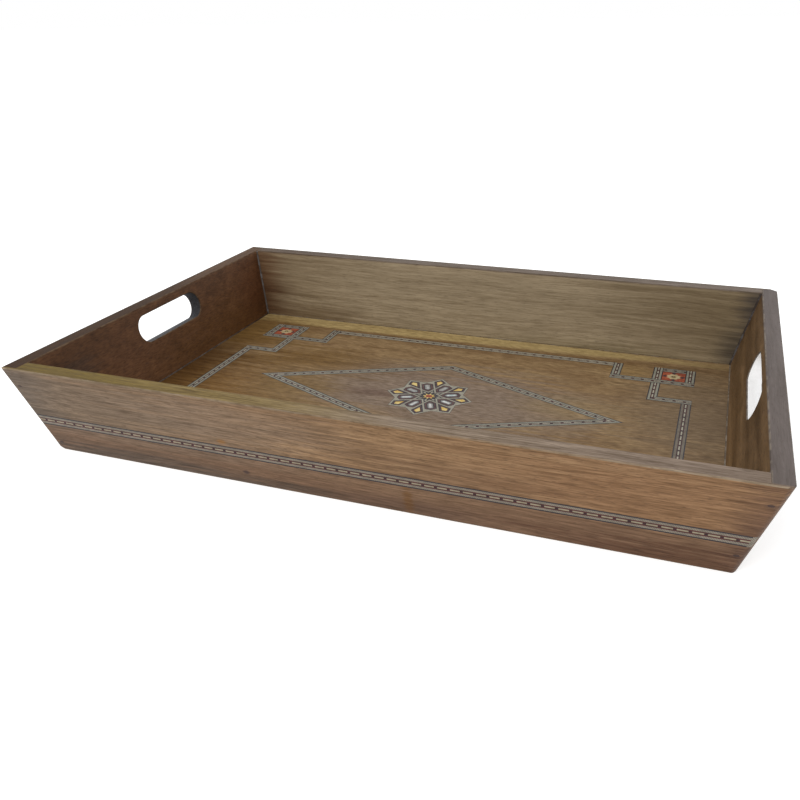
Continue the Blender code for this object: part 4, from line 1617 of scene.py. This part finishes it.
@dataclass
class CornerTile:
    """The red square in a fret, with its cream star, olive eye and four dark diamonds."""

    name: str
    side: int
    end: int
    size: float = 18.4 * MM
    star: float = 4.3 * MM
    eye: float = 2.1 * MM
    diamond: float = 2.1 * MM
    diamond_reach: float = 6.9 * MM
    depth: float = 1.0 * MM

    def build(self) -> None:
        """Make the tile's ground and its star."""
        inlay = FloorInlay()
        x = self.end * (inlay.half_length - inlay.square / 2)
        y = self.side * (inlay.half_width - inlay.square / 2)
        top = SHAPE.floor_top
        square = moved(polygon(self.size / math.sqrt(2), 4, math.pi / 4), x, y)
        star_line = moved(star(self.star, 2, HALF_STEP), x, y)
        out = self.diamond_reach
        diamonds = [
            moved(polygon(self.diamond, 4), x + out * math.cos(a), y + out * math.sin(a))
            for a in (step * math.pi / 2 for step in range(4))
        ]
        ground = bmesh.new()
        add_plate(ground, square, top, self.depth, 0, [star_line, *diamonds])
        for diamond in diamonds:
            add_plate(ground, diamond, top, self.depth, 1)
        finish_piece(self.name + "_tile", ground, (SCARLET, EBONY), self.name + "_tile_ground")
        middle = bmesh.new()
        eye = moved(polygon(self.eye, 8, HALF_STEP), x, y)
        add_plate(middle, star_line, top, self.depth, 0, [eye])
        add_plate(middle, eye, top, self.depth, 3, rings=((self.eye / 3, 2), (self.eye / 3, 1)))
        finishes = (CREAM, EBONY, OLIVE, LEMON)
        finish_piece(self.name + "_star", middle, finishes, self.name + "_tile_star")


@dataclass
class Rosette:
    """Two crossed squares round a strapwork star."""

    apothem: float = 24.8 * MM
    band: float = 1.35 * MM
    outline: float = 0.25 * MM
    strap: float = 5.4 * MM
    centre: float = 2.05 * MM
    lozenge: float = 1.15 * MM
    lozenge_stretch: float = 1.8
    lozenge_reach: float = 7.7 * MM
    heart_share: float = 1.38
    petal_rings: Rings = ((0.70 * MM, 2), (1.15 * MM, 3), (0.80 * MM, 2), (1.15 * MM, 1))
    kite_rings: Rings = ((1.05 * MM, 1), (0.50 * MM, 2), (0.60 * MM, 1))
    dim_petals: tuple[int, ...] = (2, 3, 4)
    depth: float = 0.9 * MM

    def build(self) -> None:
        """Make the strapwork and all that it holds."""
        petals = self._turned(self._petal_lines(), HALF_STEP)
        kites = self._turned(self._kite_lines(), 0)
        middle = star(self.strap - self.band / 2, 3)
        inner, outer = star(self.apothem, 2), star(self.apothem + self.outline, 2)
        straps = bmesh.new()
        add_plate(straps, inner, SHAPE.floor_top, self.depth, 0, [*petals, *kites, middle])
        add_plate(straps, outer, SHAPE.floor_top, self.depth, 1, [inner])
        finish_piece("rosette_straps", straps, (STRAP, EBONY), "rosette_strapwork")
        for number, outline in enumerate(petals, start=1):
            finishes = (SHELL_DIM if number in self.dim_petals else SHELL, SHELL_EDGE, EBONY, PLUM)
            pearl = f"rosette_pearl_{number}"
            self._field(f"rosette_petal_{number}", outline, self.petal_rings, finishes, pearl)
        for number, outline in enumerate(kites, start=1):
            finishes, kite = (LEMON, EBONY, PLUM), f"rosette_kite_{number}"
            self._field(f"rosette_kite_field_{number}", outline, self.kite_rings, finishes, kite)
        self._middle(middle)

    def _petal_lines(self) -> Outline:
        """Find the lines round the first six-sided field.

        Returns:
            The lines, for from_lines.
        """
        near, far = self.strap - self.band / 2, self.strap + self.band / 2
        edge = self.apothem - self.band
        return [
            (HALF_STEP, edge),
            (math.pi / 2, near),
            (math.pi * 3 / 4, -far),
            (math.pi * 5 / 4, -far),
            (math.pi * 3 / 2, near),
            (-HALF_STEP, edge),
        ]

    def _kite_lines(self) -> Outline:
        """Find the lines round the first kite.

        Returns:
            The lines, for from_lines.
        """
        far = self.strap + self.band / 2
        edge = self.apothem - self.band
        turn = math.pi / 2 + HALF_STEP
        return [(math.pi / 4, edge), (turn, -far), (-turn, -far), (-math.pi / 4, edge)]

    def _turned(self, lines: Sequence[Point], start: float) -> list[Outline]:
        """The outline at each of the eight directions.

        Args:
            lines: The first outline's lines.
            start: The angle of the first direction.

        Returns:
            The outlines.
        """
        return [
            from_lines([(angle + start + 2 * HALF_STEP * step, far) for angle, far in lines])
            for step in range(POINTS)
        ]

    def _field(
        self, name: str, outline: Outline, rings: Rings, finishes: Sequence[Finish], replaced: str
    ) -> None:
        """Make one field: dark rings round a bright heart.

        Args:
            name: The piece's name.
            outline: Its outer line.
            rings: Its rings' widths and material numbers.
            finishes: One finish for each material number.
            replaced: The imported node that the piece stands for.
        """
        body = bmesh.new()
        add_plate(body, outline, SHAPE.floor_top, self.depth, 0, rings=rings)
        finish_piece(name, body, finishes, replaced)


    def _middle(self, outline: Outline) -> None:
        """Make the dark middle star, and the small lemon star with its red heart.

        Args:
            outline: The middle star's outer line.
        """
        top = SHAPE.floor_top
        small = star(self.centre, 3)
        heart = polygon(self.centre * self.heart_share, POINTS, HALF_STEP)
        lozenges = []
        for angle in (2 * HALF_STEP * step for step in range(POINTS)):
            along = Vector((math.cos(angle), math.sin(angle)))
            across = Vector((-along.y, along.x))
            corners = (along * self.lozenge_stretch, across, along * -self.lozenge_stretch, -across)
            middle = along * self.lozenge_reach
            lozenges.append([tuple(middle + corner * self.lozenge) for corner in corners])
        ground = bmesh.new()
        add_plate(ground, outline, top, self.depth, 0, [small, *lozenges])
        for lozenge in lozenges:
            add_plate(ground, lozenge, top, self.depth, 1)
        finish_piece("rosette_field", ground, (EBONY, STRAP), "rosette_ground")
        centre = bmesh.new()
        add_plate(centre, small, top, self.depth, 0, [heart])
        add_plate(centre, heart, top, self.depth, 1)
        finish_piece("rosette_heart", centre, (LEMON, SCARLET), "rosette_centre_star")


# Joint filler and brads

@dataclass
class FillerBead:
    """A thin hollow bead of filler along an inside joint, uneven as a wiped bead is."""

    name: str
    start: Vector
    end: Vector
    first: Vector
    second: Vector
    radius: float
    steps: int
    finish: Filler
    seed: float
    sag: float = 0.34
    wander: Point = (0.25, 90)
    fine_wander: Point = (0.06, 420)

    def build(self) -> None:
        """Make the bead."""
        body = bmesh.new()
        corners = [self.start]
        for share in (0.0, 0.25, 0.5, 0.75, 1.0):
            sag = self.sag * math.sin(math.pi * share)
            offset = self.first * (1 - share) + self.second * share
            corners.append(self.start + offset * self.radius * (1 - sag))
        verts = [body.verts.new(corner) for corner in corners]
        section = body.faces.new(verts)
        step = (self.end - self.start) / self.steps
        bmesh.ops.spin(
            body, geom=[section], cent=self.start, axis=(0, 0, 1), dvec=step, angle=0, steps=self.steps
        )
        bmesh.ops.remove_doubles(body, verts=body.verts, dist=MERGE_REACH)
        self._roughen(body)
        lids = [face for face in body.faces if len(face.verts) > 4]
        for face in body.faces:
            face.smooth = face not in lids
        finish_piece(self.name + "_filler", body, (self.finish,))

    def _roughen(self, body: BMesh) -> None:
        """Make the bead's width wander along it.

        Args:
            body: The bead.
        """
        line = self.end - self.start
        for vert in body.verts:
            share = (vert.co - self.start).dot(line) / line.length_squared
            foot = self.start + line * share
            wander = noise.noise(Vector((share * line.length * self.wander[1], self.seed, 0)))
            fine = noise.noise(Vector((share * line.length * self.fine_wander[1], self.seed, 3)))
            vert.co = foot + (vert.co - foot) * (1 + self.wander[0] * wander + self.fine_wander[0] * fine)


@dataclass
class JointFiller:
    """The beads up the inside corners and along the walls' feet."""

    rim_stop: float = 0.6 * MM
    corner_radii: Point = (1.15 * MM, 1.45 * MM)
    corner_finishes: tuple[Filler, Filler] = (GREY_FILLER, JOINT_FILLER)
    end_radius: float = 0.75 * MM
    end_finishes: tuple[Filler, Filler] = (DARK_FILLER, PALE_FILLER)
    side_radius: float = 0.5 * MM
    steps: tuple[int, int, int] = (48, 96, 120)
    seed_step: float = 7.3

    def build(self) -> None:
        """Make the beads."""
        floor, rim = SHAPE.floor_top, SHAPE.height - self.rim_stop
        aside, rise = math.sin(SHAPE.lean), math.cos(SHAPE.lean)
        up_corner, along_end, along_side = self.steps
        beads = []
        for name, side, end in CORNERS:
            radius, finish = (pair[(end + 1) // 2] for pair in (self.corner_radii, self.corner_finishes))
            beads.append((
                name + "_corner", self._inside(side, end, floor), self._inside(side, end, rim),
                Vector((-end, 0, 0)), Vector((0, -side, 0)), radius, up_corner, finish,
            ))
        for (name, end), finish in zip(ENDS, self.end_finishes):
            beads.append((
                name + "_foot", self._inside(-1, end, floor), self._inside(1, end, floor),
                Vector((-end, 0, 0)), Vector((end * aside, 0, rise)), self.end_radius, along_end, finish,
            ))
        for name, side in SIDES:
            beads.append((
                name + "_foot", self._inside(side, -1, floor), self._inside(side, 1, floor),
                Vector((0, -side, 0)), Vector((0, side * aside, rise)), self.side_radius, along_side,
                WALL_FILLER,
            ))
        seed = 1.0
        for bead in beads:
            seed += self.seed_step
            FillerBead(*bead, seed).build()

    def _inside(self, side: int, end: int, z: float) -> Vector:
        """An inside corner at a height."""
        return Vector((end * SHAPE.inner_half_length(z), side * SHAPE.inner_half_width(z), z))


@dataclass
class BradHead:
    """A filled brad hole in a facing: putty wiped along the grain."""

    name: str
    side: int
    end: int
    drop: float
    radius: float = 0.9 * MM
    smear: float = 2.0
    proud: float = 0.04 * MM
    depth: float = 1.2 * MM
    sides: int = 20

    def build(self) -> None:
        """Make the putty plug."""
        wall = SHAPE.wall_frame(0, self.side)
        height = (wall @ Vector((0, self.drop, 0))).z
        reach = SHAPE.half_length(height) - SHAPE.end_board / math.cos(SHAPE.lean) / 2
        matrix = wall @ Matrix.Translation((reach * self.end * self.side, self.drop, self.proud))
        body = bmesh.new()
        bmesh.ops.create_circle(body, cap_ends=True, segments=self.sides, radius=self.radius)
        thicken(body, body.faces[:], Vector((0, 0, -self.depth)))
        bmesh.ops.scale(body, vec=(self.smear, 1, 1), verts=body.verts)
        bmesh.ops.transform(body, matrix=matrix, verts=body.verts)
        finish_piece(self.name + "_putty", body, (BRAD_PUTTY,), self.name + "_brad")


@dataclass
class Brads:
    """The filled brad holes: one above and one below the band at each end of a facing."""

    upper_share: float = 0.37
    lower_shares: Point = (0.68, 0.35)

    def build(self) -> None:
        """Make every brad's putty."""
        slope = SHAPE.height / math.cos(SHAPE.lean)
        foot = BAND.drop + BAND.width
        for name, side, end in CORNERS:
            lower = foot + self.lower_shares[(end + 1) // 2] * (slope - foot)
            for level, drop in (("_upper", self.upper_share * BAND.drop), ("_lower", lower)):
                BradHead(name + level, side, end, drop).build()


def redress(node: str, finish: Finish) -> None:
    """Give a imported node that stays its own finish.

    Args:
        node: The node's name.
        finish: Its finish.
    """
    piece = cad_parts[node]
    piece.data.materials.clear()
    piece.data.materials.append(material_of(finish))
    log.info("%s: kept, in %s", node, finish.name)


# Studio


@dataclass(frozen=True)
class Lamp:
    """A soft square lamp that faces a point."""

    name: str
    place: Triple
    target: Triple
    size: float
    power: float
    colour: Triple = WHITE

    def build(self) -> None:
        """Make the lamp."""
        data = bpy.data.lights.new(self.name, "AREA")
        data.shape = "SQUARE"
        data.size = self.size
        data.energy = self.power
        data.color = self.colour
        lamp = show(self.name, data)
        lamp.location = self.place
        aim = Vector(self.target) - Vector(self.place)
        lamp.rotation_euler = aim.to_track_quat("-Z", "Y").to_euler()


@dataclass
class Studio:
    """White floor, white surroundings, soft lamps and the camera."""

    ambient: float = 0.62
    floor_colour: Triple = (0.86, 0.86, 0.86)
    floor_glow: float = 0.5
    floor_reach: float = 40.0
    camera_place: Triple = (0.19690, -0.56158, 0.28192)
    camera_turn: Triple = (65.237, 0.955, 20.234)
    focal_pixels: float = 829.37
    middle_pixels: Point = (411.15, 398.36)
    image_pixels: float = 800.0
    lamps: tuple[Lamp, ...] = (
        Lamp("key_lamp", (-0.6, -1.6, 1.7), (0.0, 0.0, 0.0), 1.4, 26.0),
        Lamp("sky_lamp", (1.1, 1.5, 1.5), (0.0, 0.0, 0.0), 1.6, 16.0, (0.94, 0.97, 1.0)),
    )

    def build(self) -> None:
        """Make the studio."""
        self._world()
        self._floor()
        for lamp in self.lamps:
            lamp.build()
        self._camera()

    def _world(self) -> None:
        """White to the camera and in reflections, plain soft light for the rest."""
        world = bpy.data.worlds.new("surroundings")
        bpy.context.scene.world = world
        world.use_nodes = True
        graph = Graph(world.node_tree)
        graph.tree.nodes.remove(graph.tree.nodes["Background"])
        light = graph.add("ShaderNodeBackground", None, {"Color": WHITE, "Strength": self.ambient})
        seen = graph.add("ShaderNodeBackground", None, {"Color": WHITE, "Strength": 1.0})
        mixed = graph.add("ShaderNodeMixShader", None, {0: self._seen_ray(graph), 1: light, 2: seen})
        graph.plug(graph.tree.nodes["World Output"].inputs["Surface"], mixed)

    def _seen_ray(self, graph: Graph) -> Signal:
        """Tell the rays that show a surface as it looks from those that light one.

        Args:
            graph: The node tree that asks.

        Returns:
            1 for the first, 0 for the second.
        """
        kinds = ("Camera", "Glossy", "Transmission")
        rays = [graph.add("ShaderNodeLightPath", outlet=f"Is {kind} Ray") for kind in kinds]
        return rays[0].greater(rays[1]).greater(rays[2])

    def _floor(self) -> None:
        """A wide pale floor that keeps the tray's shadow and is clear from below."""
        body = bmesh.new()
        aside = Matrix.Translation((self.floor_reach / 4, 0, 0))
        bmesh.ops.create_grid(body, x_segments=1, y_segments=1, size=self.floor_reach, matrix=aside)
        floor = show("studio_floor", as_mesh("studio_floor", body))
        skin = Skin("studio_floor")
        glow = self._seen_ray(skin) * self.floor_glow
        looks = {"Base Color": self.floor_colour, "Roughness": 0.9}
        looks |= {"Emission Color": WHITE, "Emission Strength": glow}
        for name, value in looks.items():
            skin.plug(skin.shader.inputs[name], value)
        behind = skin.add("ShaderNodeNewGeometry", outlet="Backfacing")
        clear = skin.add("ShaderNodeBsdfTransparent")
        sockets = {0: behind, 1: Signal(skin, skin.shader.outputs[0]), 2: clear}
        mixed = skin.add("ShaderNodeMixShader", None, sockets)
        skin.plug(skin.tree.nodes["Material Output"].inputs["Surface"], mixed)
        floor.data.materials.append(skin.material)

    def _camera(self) -> None:
        """The camera at the photograph's view."""
        data = bpy.data.cameras.new("camera")
        data.sensor_fit = "HORIZONTAL"
        data.sensor_width = 36.0
        data.lens = self.focal_pixels * data.sensor_width / self.image_pixels
        half = self.image_pixels / 2
        data.shift_x = (half - self.middle_pixels[0]) / self.image_pixels
        data.shift_y = (self.middle_pixels[1] - half) / self.image_pixels
        data.clip_start = 0.01
        data.clip_end = 200.0
        camera = show("camera", data)
        camera.location = self.camera_place
        camera.rotation_euler = [math.radians(turn) for turn in self.camera_turn]
        bpy.context.scene.camera = camera


def main() -> None:
    """Build the studio and dress the tray."""
    logging.basicConfig(level=logging.INFO, format="%(name)s: %(message)s")
    bpy.context.scene.view_settings.view_transform = "Standard"
    Studio().build()
    for name, side in SIDES:
        LongWall(name, side).build()
        WallBand(name, 0, side).build()
    for name, end in ENDS:
        EndWall(name, end).build()
        WallBand(name, end, 0).build()
    FloorInlay().build()
    for name, side, end in CORNERS:
        CornerTile(name, side, end).build()
    Rosette().build()
    JointFiller().build()
    Brads().build()
    redress("floor_sheet", FLOOR)
    redress("base_panel", PANEL)


if __name__ == "__main__":
    main()
